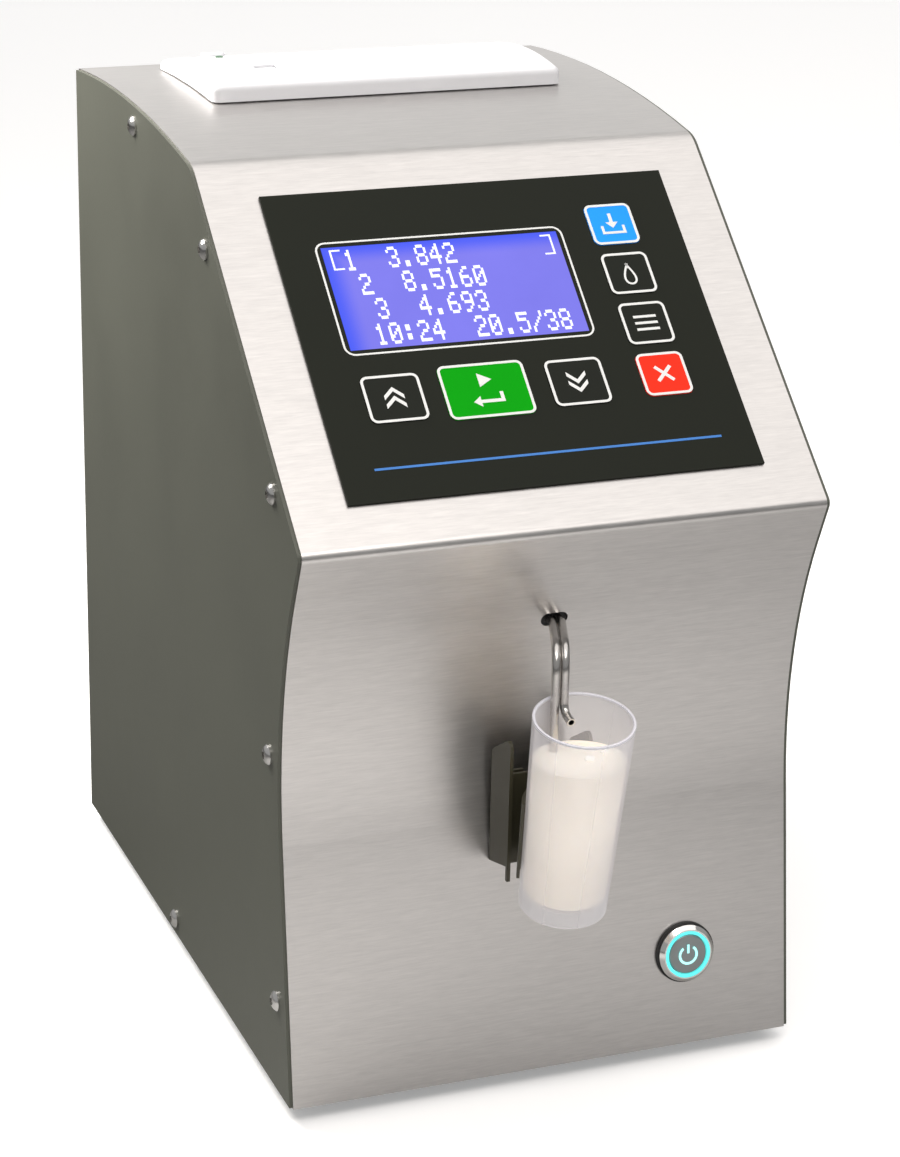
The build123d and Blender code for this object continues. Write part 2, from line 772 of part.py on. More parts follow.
# Tubes
def swept_tube(points, radii, outer, bore):
    """A round tube along straight runs joined by arcs."""
    with BuildLine(mode=Mode.PRIVATE) as route:
        FilletPolyline(*points, radius=radii)
    start = Plane(origin=route.line @ 0, z_dir=route.line % 0)
    with BuildSketch(start) as ring:
        Circle(outer)
        Circle(bore, mode=Mode.SUBTRACT)
    sweep(ring.sketch, path=route.line)


def tube_route(x, spread):
    """The bends that both tubes share, from inside the housing to above the cup."""
    return [spot(x + spread, tube_inner_depth, tube_height), spot(x, tube_turn_depth, tube_height),
            spot(x, tube_exit_depth, tube_height), spot(x + tube_sideways, tube_drop_depth, tube_height)]


low_x = intake_x + tube_sideways
return_x = intake_x + tube_spacing
with BuildPart() as intake_tube:
    route_points = tube_route(intake_x, -tube_spread) + [spot(low_x, tube_drop_depth, intake_end_height)]
    swept_tube(route_points, [tube_bend] * 3, tube_radius, tube_bore)

with BuildPart() as return_tube:
    turn_x = low_x + tube_spacing
    return_turn_height = tube_height - return_turn_drop
    tip = spot(turn_x, tube_drop_depth + return_tip_reach, return_turn_height - return_tip_drop)
    turn = spot(turn_x, tube_drop_depth, return_turn_height)
    route_points = tube_route(return_x, tube_spread) + [turn, tip]
    swept_tube(route_points, [tube_bend] * 3 + [return_tip_bend], tube_radius, tube_bore)

with BuildPart() as tube_grommet:
    grommet_front = front_depth(tube_height) - 1.0
    inner_face = front_depth(tube_height) - cover_sheet - 4 * seam
    with BuildSketch(facing(slot_x, grommet_front, tube_height, forward)) as plug:
        SlotOverall(slot_width - screw_gap, slot_height - screw_gap)
    extrude(plug.sketch, amount=-6)
    with BuildSketch(facing(slot_x, inner_face, tube_height, forward)) as collar:
        SlotOverall(slot_width + 3, slot_height + 3)
    extrude(collar.sketch, amount=-1.5)
    for x in (intake_x, return_x):
        rod(facing(x, grommet_front + sunk, tube_height, forward), tube_radius + running_gap, -10,
            Mode.SUBTRACT)
    slab((intake_x, return_x), (grommet_front - 10, grommet_front + sunk),
         (tube_height - slot_web / 2, tube_height + slot_web / 2), Mode.SUBTRACT)
parts += [(intake_tube, "intake_tube"), (return_tube, "return_tube"), (tube_grommet, "tube_grommet")]


# Sample cup and its holder
cup_base = spot(cup_x, cup_base_depth, cup_base_height)
cup_axis = Vector(0, -sin(tilt), cos(tilt))
cup_back = Vector(0, cos(tilt), sin(tilt))


def cup_plane(turn=0.0):
    """A plane through the cup's axis, its x axis from the axis out, turned from straight back."""
    out = cup_back * cos(radians(turn)) - Vector(1, 0, 0) * sin(radians(turn))
    return Plane(origin=cup_base, x_dir=out, z_dir=out.cross(cup_axis))


def cup_radius(rise):
    """The cup's outer radius so far up its axis."""
    return cup_base_radius + (cup_rim_radius - cup_base_radius) * rise / cup_height


with BuildPart() as sample_cup:
    floor_low, floor_high = cup_skirt, cup_skirt + cup_floor
    with BuildSketch(cup_plane()) as cup_wall_section:
        with BuildLine():
            Polyline((0, floor_low), (cup_radius(floor_low) - cup_wall, floor_low),
                     (cup_base_radius - cup_wall, 0), (cup_base_radius, 0), (cup_rim_radius, cup_height),
                     (cup_rim_radius - cup_wall, cup_height), (cup_radius(floor_high) - cup_wall, floor_high),
                     (0, floor_high), close=True)
        make_face()
    revolve(cup_wall_section.sketch, axis=Axis(cup_base, cup_axis))
    fillet(sample_cup.edges().filter_by(GeomType.CIRCLE).group_by(Axis.Z)[-1], radius=0.3)

with BuildPart() as cup_clip:
    clip_end = clip_start + clip_height
    start_radius, end_radius = cup_radius(clip_start) + clip_gap, cup_radius(clip_end) + clip_gap
    with BuildSketch(cup_plane(-clip_half_angle)) as clip_section:
        with BuildLine():
            Polyline((start_radius, clip_start), (start_radius + clip_sheet, clip_start),
                     (end_radius + clip_sheet, clip_end), (end_radius, clip_end), close=True)
        make_face()
    revolve(clip_section.sketch, axis=Axis(cup_base, cup_axis), revolution_arc=2 * clip_half_angle)
    stem_low, stem_high = tab_low + 1, tab_high - 4
    slab((cup_x - clip_stem_width / 2, cup_x + clip_stem_width / 2), (web_depth, web_depth + 7),
         (stem_low, stem_high))
    with BuildSketch(cup_plane()) as cup_space:
        with BuildLine():
            Polyline((0, 0), (cup_radius(0) + clip_gap, 0), (cup_radius(cup_height) + clip_gap, cup_height),
                     (0, cup_height), close=True)
        make_face()
    revolve(cup_space.sketch, axis=Axis(cup_base, cup_axis), mode=Mode.SUBTRACT)

bracket_left = cup_x - bracket_width / 2
bracket_right = cup_x + bracket_width / 2
with BuildPart() as cup_bracket:
    slab((bracket_left, bracket_right), (web_depth - bracket_sheet, web_depth), (web_low, web_high))
    lip_depth = bracket_front - wing_lip
    for start in (bracket_left, bracket_right - bracket_sheet):
        with BuildSketch(Plane.YZ.offset(start)) as wing:
            with BuildLine():
                Polyline(side_point(tab_depth, wing_edge_back), side_point(lip_depth, wing_edge_front),
                         side_point(lip_depth, wing_low), side_point(bracket_front, wing_low),
                         side_point(bracket_front, wing_high), side_point(tab_depth, wing_back_high),
                         close=True)
            make_face()
            fillet(wing.vertices().sort_by(Axis.Y)[-2:], radius=2)
        extrude(wing.sketch, amount=bracket_sheet)
    for start in (bracket_left, bracket_right - tab_width - bracket_sheet):
        slab((start, start + tab_width + bracket_sheet), (tab_depth, tab_depth + bracket_sheet),
             (tab_low, tab_high))
    for x in bracket_screw_spots:
        rod(facing(x, tab_depth - sunk, bracket_screw_height, forward), screw_radius + screw_gap, 4,
            Mode.SUBTRACT)

with BuildPart() as bracket_screws:
    for x in bracket_screw_spots:
        button_screw(facing(x, tab_depth + bracket_sheet, bracket_screw_height, forward), length=7)
parts += [(sample_cup, "sample_cup"), (cup_clip, "cup_clip"), (cup_bracket, "cup_bracket"),
          (bracket_screws, "bracket_screws")]


# Printer
lid_left, lid_right = bay_left + lid_gap, bay_right - lid_gap
hinge_height = crown_height(hinge_depth) - hinge_radius
rear_rail = hinge_depth - hinge_radius - hinge_room
release_middle = release_back + release_length / 2
release_ends = (release_back, release_back + release_length)
with BuildPart() as printer_bezel:
    extrude(crowned_block(bezel_back, bezel_back + bezel_length, 0, rim_bottom, bezel_x - bezel_width / 2),
            amount=bezel_width)
    fillet(printer_bezel.edges().filter_by(Axis.Z), radius=bezel_corner)
    fillet(printer_bezel.faces().sort_by(Axis.Z)[-1].edges(), radius=bezel_edge)
    extrude(side_outline(-bezel_gap, -width / 2), amount=width, mode=Mode.SUBTRACT)
    slab((-rim_half_width, rim_half_width), (rim_back, rim_front), (rim_bottom, rim_top))
    slab((bay_left, bay_right), (rear_rail, lid_front + lid_gap), (rim_bottom - sunk, back_height + 20),
         Mode.SUBTRACT)
    pin_start = facing(bay_left - hinge_overlap, hinge_depth, hinge_height, (1, 0, 0))
    pin_length = bay_right - bay_left + 2 * hinge_overlap
    rod(pin_start, hinge_pin_radius + running_gap, pin_length, Mode.SUBTRACT)
    room = 2 * button_gap
    flange_room = 2 * (button_gap + button_flange)
    flange_space = button_flange_high + seam - rim_bottom + sunk
    release_plane = facing(release_x, release_middle, rim_bottom - sunk, up)
    plate(release_plane, (release_width + room, release_length + room), 20, 0.8, Mode.SUBTRACT)
    plate(release_plane, (release_width + flange_room, release_length + flange_room), flange_space,
          mode=Mode.SUBTRACT)
    with BuildSketch(facing(feed_x, feed_depth, rim_bottom - sunk, up)) as feed_hole:
        SlotOverall(feed_width + room, feed_length + room)
    extrude(feed_hole.sketch, amount=20, mode=Mode.SUBTRACT)
    plate(facing(feed_x, feed_depth, rim_bottom - sunk, up), (feed_width + flange_room, feed_length + room),
          flange_space, mode=Mode.SUBTRACT)
    rod(facing(led_x, led_depth, rim_bottom - sunk, up), led_radius + running_gap, 20, Mode.SUBTRACT)

with BuildPart() as printer_body:
    bay_front = rim_front - bay_wall
    bay_rear = rim_back + bay_wall
    slab((-rim_half_width, rim_half_width), (rim_back, rim_front), (rim_bottom - bay_wall, rim_bottom))
    slab((bay_left - bay_wall, bay_right + bay_wall), (rim_back, rim_front), (bay_bottom, rim_bottom))
    slab((bay_left, bay_right), (bay_rear, bay_front), (bay_bottom + bay_wall, rim_bottom + sunk),
         Mode.SUBTRACT)
    head_span = (lid_left + ear_thickness + seam, lid_right - ear_thickness - seam)
    head_back = platen_depth + platen_radius + head_gap
    slab(head_span, (head_back, bay_front), (head_low, rim_bottom))
    slab(head_span, (head_back, lid_front), (rim_bottom, head_high))

with BuildPart() as printer_lid:
    extrude(crowned_sheet(hinge_depth, lid_front, lid_thickness, lid_left), amount=lid_right - lid_left)
    rod(facing(lid_left, hinge_depth, hinge_height, (1, 0, 0)), hinge_radius, lid_right - lid_left)
    for start in (lid_left, lid_right - ear_thickness):
        slab((start, start + ear_thickness), (platen_depth - 4, platen_depth + 3.5),
             (platen_height - 3, crown_height(lid_front) - lid_thickness / 2))
    rod(facing(lid_left - sunk, hinge_depth, hinge_height, (1, 0, 0)), hinge_pin_radius + running_gap,
        lid_right - lid_left + 2 * sunk, Mode.SUBTRACT)
    rod(facing(lid_left - sunk, platen_depth, platen_height, (1, 0, 0)), platen_shaft + running_gap,
        lid_right - lid_left + 2 * sunk, Mode.SUBTRACT)

with BuildPart() as lid_hinge_pin:
    rod(pin_start, hinge_pin_radius, pin_length)

with BuildPart() as platen_roller:
    rod(facing(lid_left, platen_depth, platen_height, (1, 0, 0)), platen_shaft, lid_right - lid_left)
    rod(facing(lid_left + ear_thickness + seam, platen_depth, platen_height, (1, 0, 0)), platen_radius,
        lid_right - lid_left - 2 * (ear_thickness + seam))

with BuildPart() as paper_roll:
    roll_height = bay_bottom + bay_wall + roll_radius + seam
    roll_plane = facing(lid_left + seam, roll_depth, roll_height, (1, 0, 0))
    rod(roll_plane, roll_radius, lid_right - lid_left - 2 * seam)
    rod(roll_plane.offset(-sunk), roll_core, lid_right - lid_left + 2 * sunk, Mode.SUBTRACT)

with BuildPart() as release_button:
    extrude(crowned_block(*release_ends, release_proud, button_flange_low, release_x - release_width / 2),
            amount=release_width)
    fillet(release_button.edges().filter_by(Axis.Z), radius=0.6)
    chamfer(release_button.faces().sort_by(Axis.Z)[-1].edges(), length=release_chamfer)
    pad_half = release_width / 2 - release_chamfer
    pad_ends = (release_back + release_chamfer, release_back + release_chamfer + release_pad_length)
    pad_lift = release_proud + release_pad_rise
    extrude(crowned_block(*pad_ends, pad_lift, button_flange_high, release_x - pad_half), amount=2 * pad_half)
    plate(facing(release_x, release_middle, button_flange_low, up),
          (release_width + 2 * button_flange, release_length + 2 * button_flange), button_flange)

with BuildPart() as feed_button:
    feed_back, feed_front = feed_depth - feed_length / 2, feed_depth + feed_length / 2
    feed_high = crown_height(feed_front) + feed_proud
    with BuildSketch(facing(feed_x, feed_depth, button_flange_low, up)) as feed_shape:
        SlotOverall(feed_width, feed_length)
    extrude(feed_shape.sketch, amount=feed_high - button_flange_low)
    with BuildSketch(Plane.YZ.offset(feed_x - feed_width)) as feed_slope:
        with BuildLine():
            Polyline(side_point(feed_back, crown_height(feed_back) + feed_proud),
                     side_point(feed_front, feed_high), side_point(feed_front, feed_high + sunk),
                     side_point(feed_back - sunk, feed_high + sunk), close=True)
        make_face()
    extrude(feed_slope.sketch, amount=2 * feed_width, mode=Mode.SUBTRACT)
    fillet(feed_button.faces().sort_by(Axis.Z)[-1].edges(), radius=0.6)
    plate(facing(feed_x, feed_depth, button_flange_low, up), (feed_width + 2 * button_flange, feed_length),
          button_flange)

with BuildPart() as printer_led:
    rod(facing(led_x, led_depth, rim_bottom, up), led_radius, crown_height(led_depth) + seam - rim_bottom)

parts += [(printer_bezel, "printer_bezel"), (printer_body, "printer_body"), (printer_lid, "printer_lid"),
          (lid_hinge_pin, "lid_hinge_pin"), (platen_roller, "platen_roller"),
          (paper_roll, "paper_roll"), (release_button, "release_button"), (feed_button, "feed_button"),
          (printer_led, "printer_led")]


# Board and ports
with BuildPart() as main_board:
    slab((main_left, main_right), (main_front - board_thickness, main_front), (main_low, main_high))

with BuildPart() as board_chips:
    for right, above, chip_width, chip_length, thickness in chips:
        x, height = main_left + right, main_low + above
        slab((x - chip_width / 2, x + chip_width / 2), (main_front, main_front + thickness),
             (height - chip_length / 2, height + chip_length / 2))
    for right, above in capacitors:
        foot = facing(main_left + right, main_front, main_low + above, forward)
        rod(foot, capacitor_radius, capacitor_length)

with BuildPart() as serial_port:
    slab((serial_x - serial_body_width / 2, serial_x + serial_body_width / 2),
         (rear_sheet, rear_sheet + main_gap),
         (port_height - serial_body_height / 2, port_height + serial_body_height / 2))
    plate(facing(serial_x, rear_sheet, port_height, (0, 1, 0)), (shell_width, shell_height),
          rear_sheet + port_reach, shell_corner)
    jack_places = (serial_x - jack_spacing / 2, serial_x + jack_spacing / 2)
    for jack_x in jack_places:
        rod(facing(jack_x, rear_sheet - sunk, port_height, forward), jack_bore + running_gap, main_gap - 2,
            Mode.SUBTRACT)
    for jack_x in jack_places:
        with BuildSketch(facing(jack_x, 0, port_height, (0, 1, 0))) as jack_face:
            RegularPolygon(jack_radius, 6)
        extrude(jack_face.sketch, amount=jack_length)
        rod(facing(jack_x, 0, port_height, forward), jack_bore, rear_sheet + 3)
        rod(facing(jack_x, -jack_length - sunk, port_height, forward), jack_bore, jack_length, Mode.SUBTRACT)

with BuildPart() as dc_inlet:
    slab((dc_x - dc_width / 2, dc_x + dc_width / 2), (-dc_reach, rear_sheet + main_gap),
         (port_height - dc_height / 2, port_height + dc_height / 2))
    rod(facing(dc_x, -dc_reach, port_height, forward), dc_bore, dc_hole_depth, Mode.SUBTRACT)
    rod(facing(dc_x, dc_hole_depth - dc_reach, port_height, (0, 1, 0)), dc_pin, dc_hole_depth - sunk)
parts += [(main_board, "main_board"), (board_chips, "board_chips"),
          (serial_port, "serial_port"), (dc_inlet, "dc_inlet")]


# Measuring cell, pump and hoses
with BuildPart() as measuring_cell:
    slab((cell_x - cell_width / 2, cell_x + cell_width / 2), (cell_back, cell_back + cell_length),
         (cell_low, cell_low + cell_height))
    for depth in (cell_back + barb_inset, cell_back + cell_length - barb_inset):
        rod(facing(cell_x, depth, cell_low + cell_height, up), barb_radius, barb_height)
        rod(facing(cell_x, depth, cell_low + cell_height, up), 0.8, barb_height + sunk, Mode.SUBTRACT)

with BuildPart() as ultrasonic_sensors:
    middle = cell_low + cell_height / 2
    rod(facing(cell_x, cell_back, middle, (0, 1, 0)), sensor_radius, sensor_thickness)
    rod(facing(cell_x, cell_back + cell_length, middle, forward), sensor_radius, sensor_thickness)

with BuildPart() as cell_bracket:
    cell_edge = cell_x - cell_width / 2 - cell_bracket_gap
    foot_span = (cell_edge, cell_x + cell_width / 2)
    bracket_span = (cell_back + cell_bracket_inset, cell_back + cell_length - cell_bracket_inset)
    slab(foot_span, bracket_span, (base_sheet, base_sheet + bracket_plate))
    slab((cell_edge, cell_edge + bracket_plate), bracket_span, (base_sheet, cell_low))
    slab(foot_span, bracket_span, (cell_low - bracket_plate, cell_low))

with BuildPart() as pump_bracket:
    pump_reach = pump_radius + pump_plate_margin
    pump_span = (pump_x - pump_reach, pump_x + pump_reach)
    slab(pump_span, (pump_depth - bracket_plate, pump_depth), (base_sheet, pump_height + pump_reach))
    slab(pump_span, (pump_depth - pump_foot_length, pump_depth), (base_sheet, base_sheet + bracket_plate))
    rod(facing(pump_x, pump_depth - 5, pump_height, forward), 3 * pump_shaft, 10, Mode.SUBTRACT)

leg_back = roller_back + (roller_length - pump_hose_width) / 2
with BuildPart() as pump_housing:
    rod(facing(pump_x, pump_depth, pump_height, forward), pump_radius, pump_length)
    rod(facing(pump_x, pump_depth + pump_wall, pump_height, forward), pump_track, pump_length, Mode.SUBTRACT)
    rod(facing(pump_x, pump_depth - sunk, pump_height, forward), pump_shaft + screw_gap, pump_length,
        Mode.SUBTRACT)
    for side in (-1, 1):
        leg_x = pump_x + side * leg_offset
        slab((leg_x - hose_end, leg_x + hose_end),
             (leg_back - pump_hose_gap, leg_back + pump_hose_width + pump_hose_gap),
             (pump_height, pump_height + pump_radius), Mode.SUBTRACT)

with BuildPart() as pump_rotor:
    rotor_plane = facing(pump_x, pump_depth + pump_wall + seam, pump_height, forward)
    rod(rotor_plane, roller_orbit + roller_pin + 1, 2)
    rod(rotor_plane, 2.4 * pump_shaft, 8)
    rod(rotor_plane, pump_shaft, -pump_wall - bracket_plate - 6)
    roller_places = []
    for turn in range(roller_count):
        angle = 2 * pi * turn / roller_count
        place = (pump_x + roller_orbit * sin(angle), pump_height + roller_orbit * cos(angle))
        roller_places.append(place)
        rod(facing(place[0], pump_depth + pump_wall + seam, place[1], forward), roller_pin,
            roller_back + roller_length - pump_depth - pump_wall)

parts += [(measuring_cell, "measuring_cell"), (ultrasonic_sensors, "ultrasonic_sensors"),
          (cell_bracket, "cell_bracket"), (pump_bracket, "pump_bracket"), (pump_housing, "pump_housing"),
          (pump_rotor, "pump_rotor")]
for number, (roller_x, roller_height) in enumerate(roller_places, start=1):
    with BuildPart() as roller:
        rod(facing(roller_x, roller_back, roller_height, forward), roller_radius, roller_length)
        rod(facing(roller_x, roller_back - sunk, roller_height, forward), roller_pin + running_gap,
            roller_length + 2 * sunk, Mode.SUBTRACT)
    parts.append((roller, f"pump_roller_{number}"))

with BuildPart() as pump_motor:
    rod(facing(pump_x, pump_depth - bracket_plate, pump_height, forward), pump_motor_radius,
        -pump_motor_length)
    rod(facing(pump_x, pump_depth, pump_height, forward), pump_shaft + screw_gap, -10, Mode.SUBTRACT)

with BuildPart() as pump_hose:
    leg_plane = facing(pump_x, leg_back, pump_height, forward)
    rod(leg_plane, leg_offset + pump_hose_thickness / 2, pump_hose_width)
    rod(leg_plane.offset(-sunk), leg_offset - pump_hose_thickness / 2, pump_hose_width + 2 * sunk,
        Mode.SUBTRACT)
    slab((pump_x - pump_radius, pump_x + pump_radius), (leg_back - sunk, leg_back + pump_hose_width + sunk),
         (pump_height, pump_height + pump_radius), Mode.SUBTRACT)
    for side in (-1, 1):
        leg_x = pump_x + side * leg_offset
        slab((leg_x - pump_hose_thickness / 2, leg_x + pump_hose_thickness / 2),
             (leg_back, leg_back + pump_hose_width), (pump_height, leg_top))

barb_top = cell_low + cell_height
leg_depth = leg_back + pump_hose_width / 2
tube_end = [spot(x, tube_inner_depth, tube_height) for x in (intake_x - tube_spread, return_x + tube_spread)]
tube_turn = [spot(x, tube_turn_depth, tube_height) for x in (intake_x, return_x)]
tube_heading = [(turn - end).normalized() for turn, end in zip(tube_turn, tube_end)]
with BuildPart() as hoses:
    inlet_depth = cell_back + cell_length - barb_inset
    swept_tube([tube_end[0] + tube_heading[0] * hose_overlap, tube_end[0] - tube_heading[0] * 24,
                spot(cell_x, inlet_depth, barb_top + 38), spot(cell_x, inlet_depth, barb_top + 2)],
               [hose_bend] * 2, hose_radius, hose_bore)
    outlet_depth = cell_back + barb_inset
    swept_tube([spot(cell_x, outlet_depth, barb_top + 2), spot(cell_x, outlet_depth, barb_top + 32),
                spot(pump_x - leg_offset, leg_depth, leg_top + 30),
                spot(pump_x - leg_offset, leg_depth, leg_top)],
               [hose_bend] * 2, hose_radius, hose_bore)
    swept_tube([spot(pump_x + leg_offset, leg_depth, leg_top),
                spot(pump_x + leg_offset, leg_depth, tube_height - 4),
                tube_end[1] - tube_heading[1] * 26, tube_end[1] + tube_heading[1] * hose_overlap],
               [hose_bend] * 2, hose_radius, hose_bore)
parts += [(pump_motor, "pump_motor"), (pump_hose, "pump_hose"), (hoses, "hoses")]

os.makedirs("parts", exist_ok=True)
for builder, node_name in parts:
    builder.part.label = node_name
    export_step(builder.part, f"parts/{node_name}.step")
print(len(parts), "nodes")
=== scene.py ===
"""A bench milk analyzer, dressed over its solids: finishes, printed keys, display, milk and light."""
import json
from math import cos, pi, radians, sin

import bmesh
import bpy
from mathutils import Matrix, Vector


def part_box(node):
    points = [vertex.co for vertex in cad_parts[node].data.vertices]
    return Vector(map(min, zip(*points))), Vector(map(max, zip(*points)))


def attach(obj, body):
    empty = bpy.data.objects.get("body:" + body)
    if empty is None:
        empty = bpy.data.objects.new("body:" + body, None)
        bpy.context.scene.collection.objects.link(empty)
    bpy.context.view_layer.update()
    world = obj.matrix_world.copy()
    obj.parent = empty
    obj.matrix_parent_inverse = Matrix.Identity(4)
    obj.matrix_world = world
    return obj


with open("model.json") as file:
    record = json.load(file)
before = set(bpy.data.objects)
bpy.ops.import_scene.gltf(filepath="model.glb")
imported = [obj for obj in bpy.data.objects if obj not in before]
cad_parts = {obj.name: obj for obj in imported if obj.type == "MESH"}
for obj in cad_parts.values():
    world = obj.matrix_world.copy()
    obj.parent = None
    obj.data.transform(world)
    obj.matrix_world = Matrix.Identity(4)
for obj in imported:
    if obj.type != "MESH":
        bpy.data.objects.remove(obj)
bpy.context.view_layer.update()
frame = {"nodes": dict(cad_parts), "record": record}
nodes = frame["nodes"]
mm = 0.001

# Camera, in metres and degrees
camera_place = Vector((-0.31073, -0.80963, 0.44039))
camera_lens = 97.35
camera_yaw = 21.169
camera_pitch = 20.242
camera_roll = 1.2166

# Light
room_light = 0.36
room_seen = 1.0
floor_lift = 0.30
floor_seen = 0.86
# For the rays that only light, the floor's colour is a painted pool of light: bright around bright_floor,
# darker further off.
painted_pool_near = 0.92
painted_pool_far = 0.16
bright_floor = (0.0, -0.40, 0.0)
painted_pool_reach = (0.08, 0.50)
# Each lamp: its name, its place, what it faces, its size in metres, its power in watts and its colour
lamps = (
    ("overhead", (0.4, -0.2, 2.0), (0, -0.05, 0.15), (3.0, 3.0), 30.5, (1.0, 0.96, 0.93)),
    ("behind", (0.9, 2.5, 1.2), (0, 0, 0.15), (3.0, 2.0), 10.0, (1.0, 0.985, 0.96)),
    ("near_left", (-0.26, 0.22, 0.46), (-0.077, 0.09, 0.22), (0.2, 0.2), 2.9, (1.0, 0.96, 0.91)),
    ("before", (-0.1, -0.7, 1.0), bright_floor, (0.5, 0.5), 4.0, (1.0, 0.95, 0.90)),
)

# Finishes: bump heights in metres, and shares
bump_depth = 0.0001
brushed_depth = 0.00005
handled_share = 0.12
display_glow = 0.88
# Strength of the painted glow that lifts the milk and the foam.
milk_painted_glow = 0.27

# Printed marks, in millimetres
ink_height = 0.06
ink_sink = 0.04
key_flange = 0.8
key_line = 0.75
key_corner = 2.0
display_line = 0.55
display_line_gap = 1.75
display_corner = 3.0
corner_segments = 6
stripe_width = 0.7
stripe_length = 100
stripe_rise = 9.5
mark_radii = (2.25, 2.95)
mark_bar = 0.33
mark_gap = 72

# Display, in its own dots, and where its left and top edges are brighter, in millimetres
lit_left = 7
lit_top = 4
dot_field_share = 0.955
dots_across = 128
dots_down = 64
glyph_width = 8
row_dots = 16
dot_width = 1.25
dot_height = 1.9
first_dot_row = 1.5
bracket_rows = 13
bracket_arm = 5
display_rows = (("1  3.842", 1.0), ("2  8.5160", 1.6), ("3  4.693", 2.2), ("10:24  20.5/38", 1.6))

# Sample, in millimetres and degrees: each bubble's place from the rim's middle, and its radius
bubbles = ((2.6, 1.6, 1.25), (8.2, 4.4, 1.05), (6.0, 6.6, 0.6))
milk_below_rim = 12.5
cling_width = 0.9
cling_rise = 0.25
bead_radius = 0.43
bead_sides = 12
cup_wall = 0.8
cup_tilt = 9.9
cup_height = 59.0
cup_rim_radius = 13.75
cup_base_radius = 12.0
cup_floor_top = 5.5
milk_gap = 0.06


# Node groups and materials
def add(tree, kind, **values):
    """A node of that kind, its sockets set by name, an underscore for each space."""
    made = tree.nodes.new("ShaderNode" + kind)
    for socket, value in values.items():
        made.inputs[socket.replace("_", " ")].default_value = value
    return made


def combine(tree, operation, *values, clamp=False):
    """What a Math node makes of its values, each a number or another node's output."""
    made = add(tree, "Math")
    made.operation = operation
    made.use_clamp = clamp
    for socket, value in zip(made.inputs, values):
        if isinstance(value, bpy.types.NodeSocket):
            tree.links.new(value, socket)
        else:
            socket.default_value = value
    return made.outputs[0]


def pattern_group(name, inputs, outputs):
    """An empty node group with number inputs and outputs, and its two end nodes."""
    tree = bpy.data.node_groups.new(name, "ShaderNodeTree")
    for socket, value in inputs.items():
        made = tree.interface.new_socket(socket, in_out="INPUT", socket_type="NodeSocketFloat")
        made.default_value = value
    for socket in outputs:
        tree.interface.new_socket(socket, in_out="OUTPUT", socket_type="NodeSocketFloat")
    return tree, tree.nodes.new("NodeGroupInput"), tree.nodes.new("NodeGroupOutput")


def make_blotches():
    """Slow, uneven change of tone, as on handled or moulded surfaces."""
    tree, start, end = pattern_group("blotches", {"Scale": 30.0, "Contrast": 1.0}, ["Tone"])
    place = add(tree, "TexCoord")
    wide = add(tree, "TexNoise", Detail=4.0, Roughness=0.55)
    tree.links.new(place.outputs["Object"], wide.inputs["Vector"])
    tree.links.new(start.outputs["Scale"], wide.inputs["Scale"])
    centred = combine(tree, "SUBTRACT", wide.outputs["Fac"], 0.5)
    spread = combine(tree, "MULTIPLY_ADD", centred, start.outputs["Contrast"], 0.5, clamp=True)
    tree.links.new(spread, end.inputs["Tone"])
    return tree


def make_grain():
    """Fine bumps of powder paint, moulded plastic and rubber."""
    tree, start, end = pattern_group("grain", {"Scale": 1500.0}, ["Height"])
    place = add(tree, "TexCoord")
    fine = add(tree, "TexNoise", Detail=2.0, Roughness=0.6)
    tree.links.new(place.outputs["Object"], fine.inputs["Vector"])
    tree.links.new(start.outputs["Scale"], fine.inputs["Scale"])
    tree.links.new(fine.outputs["Fac"], end.inputs["Height"])
    return tree


def make_brushing():
    """Long fine lines across the width, as brushed sheet has."""
    tree, start, end = pattern_group("brushing", {"Fineness": 1.0}, ["Lines", "Height"])
    place = add(tree, "TexCoord")
    heights = []
    for across, along, detail in ((2600.0, 190.0, 3.0), (1100.0, 90.0, 2.0)):
        turned = add(tree, "Mapping")
        turned.inputs["Scale"].default_value = (along, across, across)
        tree.links.new(place.outputs["Object"], turned.inputs["Vector"])
        lines = add(tree, "TexNoise", Detail=detail, Roughness=0.7)
        tree.links.new(turned.outputs["Vector"], lines.inputs["Vector"])
        tree.links.new(start.outputs["Fineness"], lines.inputs["Scale"])
        heights.append(lines.outputs["Fac"])
    tree.links.new(combine(tree, "MULTIPLY", combine(tree, "ADD", *heights), 0.5), end.inputs["Lines"])
    tree.links.new(heights[0], end.inputs["Height"])
    return tree


blotches = make_blotches()
grain = make_grain()
brushing = make_brushing()


def place_group(tree, group, **values):
    """That node group, placed in a material with its own values."""
    made = tree.nodes.new("ShaderNodeGroup")
    made.node_tree = group
    for socket, value in values.items():
        made.inputs[socket].default_value = value
    return made


def between(tree, factor, low, high):
    """A number that goes from low to high with the factor."""
    made = add(tree, "MapRange", To_Min=low, To_Max=high)
    tree.links.new(factor, made.inputs["Value"])
    return made.outputs["Result"]


def colours_between(tree, factor, dark, light):
    """A colour that goes from dark to light with the factor. Dark can be another node's output."""
    made = tree.nodes.new("ShaderNodeMix")
    made.data_type = "RGBA"
    low, high = [socket for socket in made.inputs if socket.type == "RGBA"]
    if isinstance(dark, bpy.types.NodeSocket):
        tree.links.new(dark, low)
    else:
        low.default_value = (*dark, 1.0)
    high.default_value = (*light, 1.0)
    tree.links.new(factor, made.inputs["Factor"])
    return next(socket for socket in made.outputs if socket.type == "RGBA")


def raise_bumps(tree, shader, height, strength, distance):
    """Bumps of that height feed the shader's normal."""
    bump = add(tree, "Bump", Strength=strength, Distance=distance)
    tree.links.new(height, bump.inputs["Height"])
    tree.links.new(bump.outputs["Normal"], shader.inputs["Normal"])


def start_material(name):
    """A new material, its node tree and its shader."""
    material = bpy.data.materials.new(name)
    material.use_nodes = True
    tree = material.node_tree
    return material, tree, tree.nodes["Principled BSDF"]


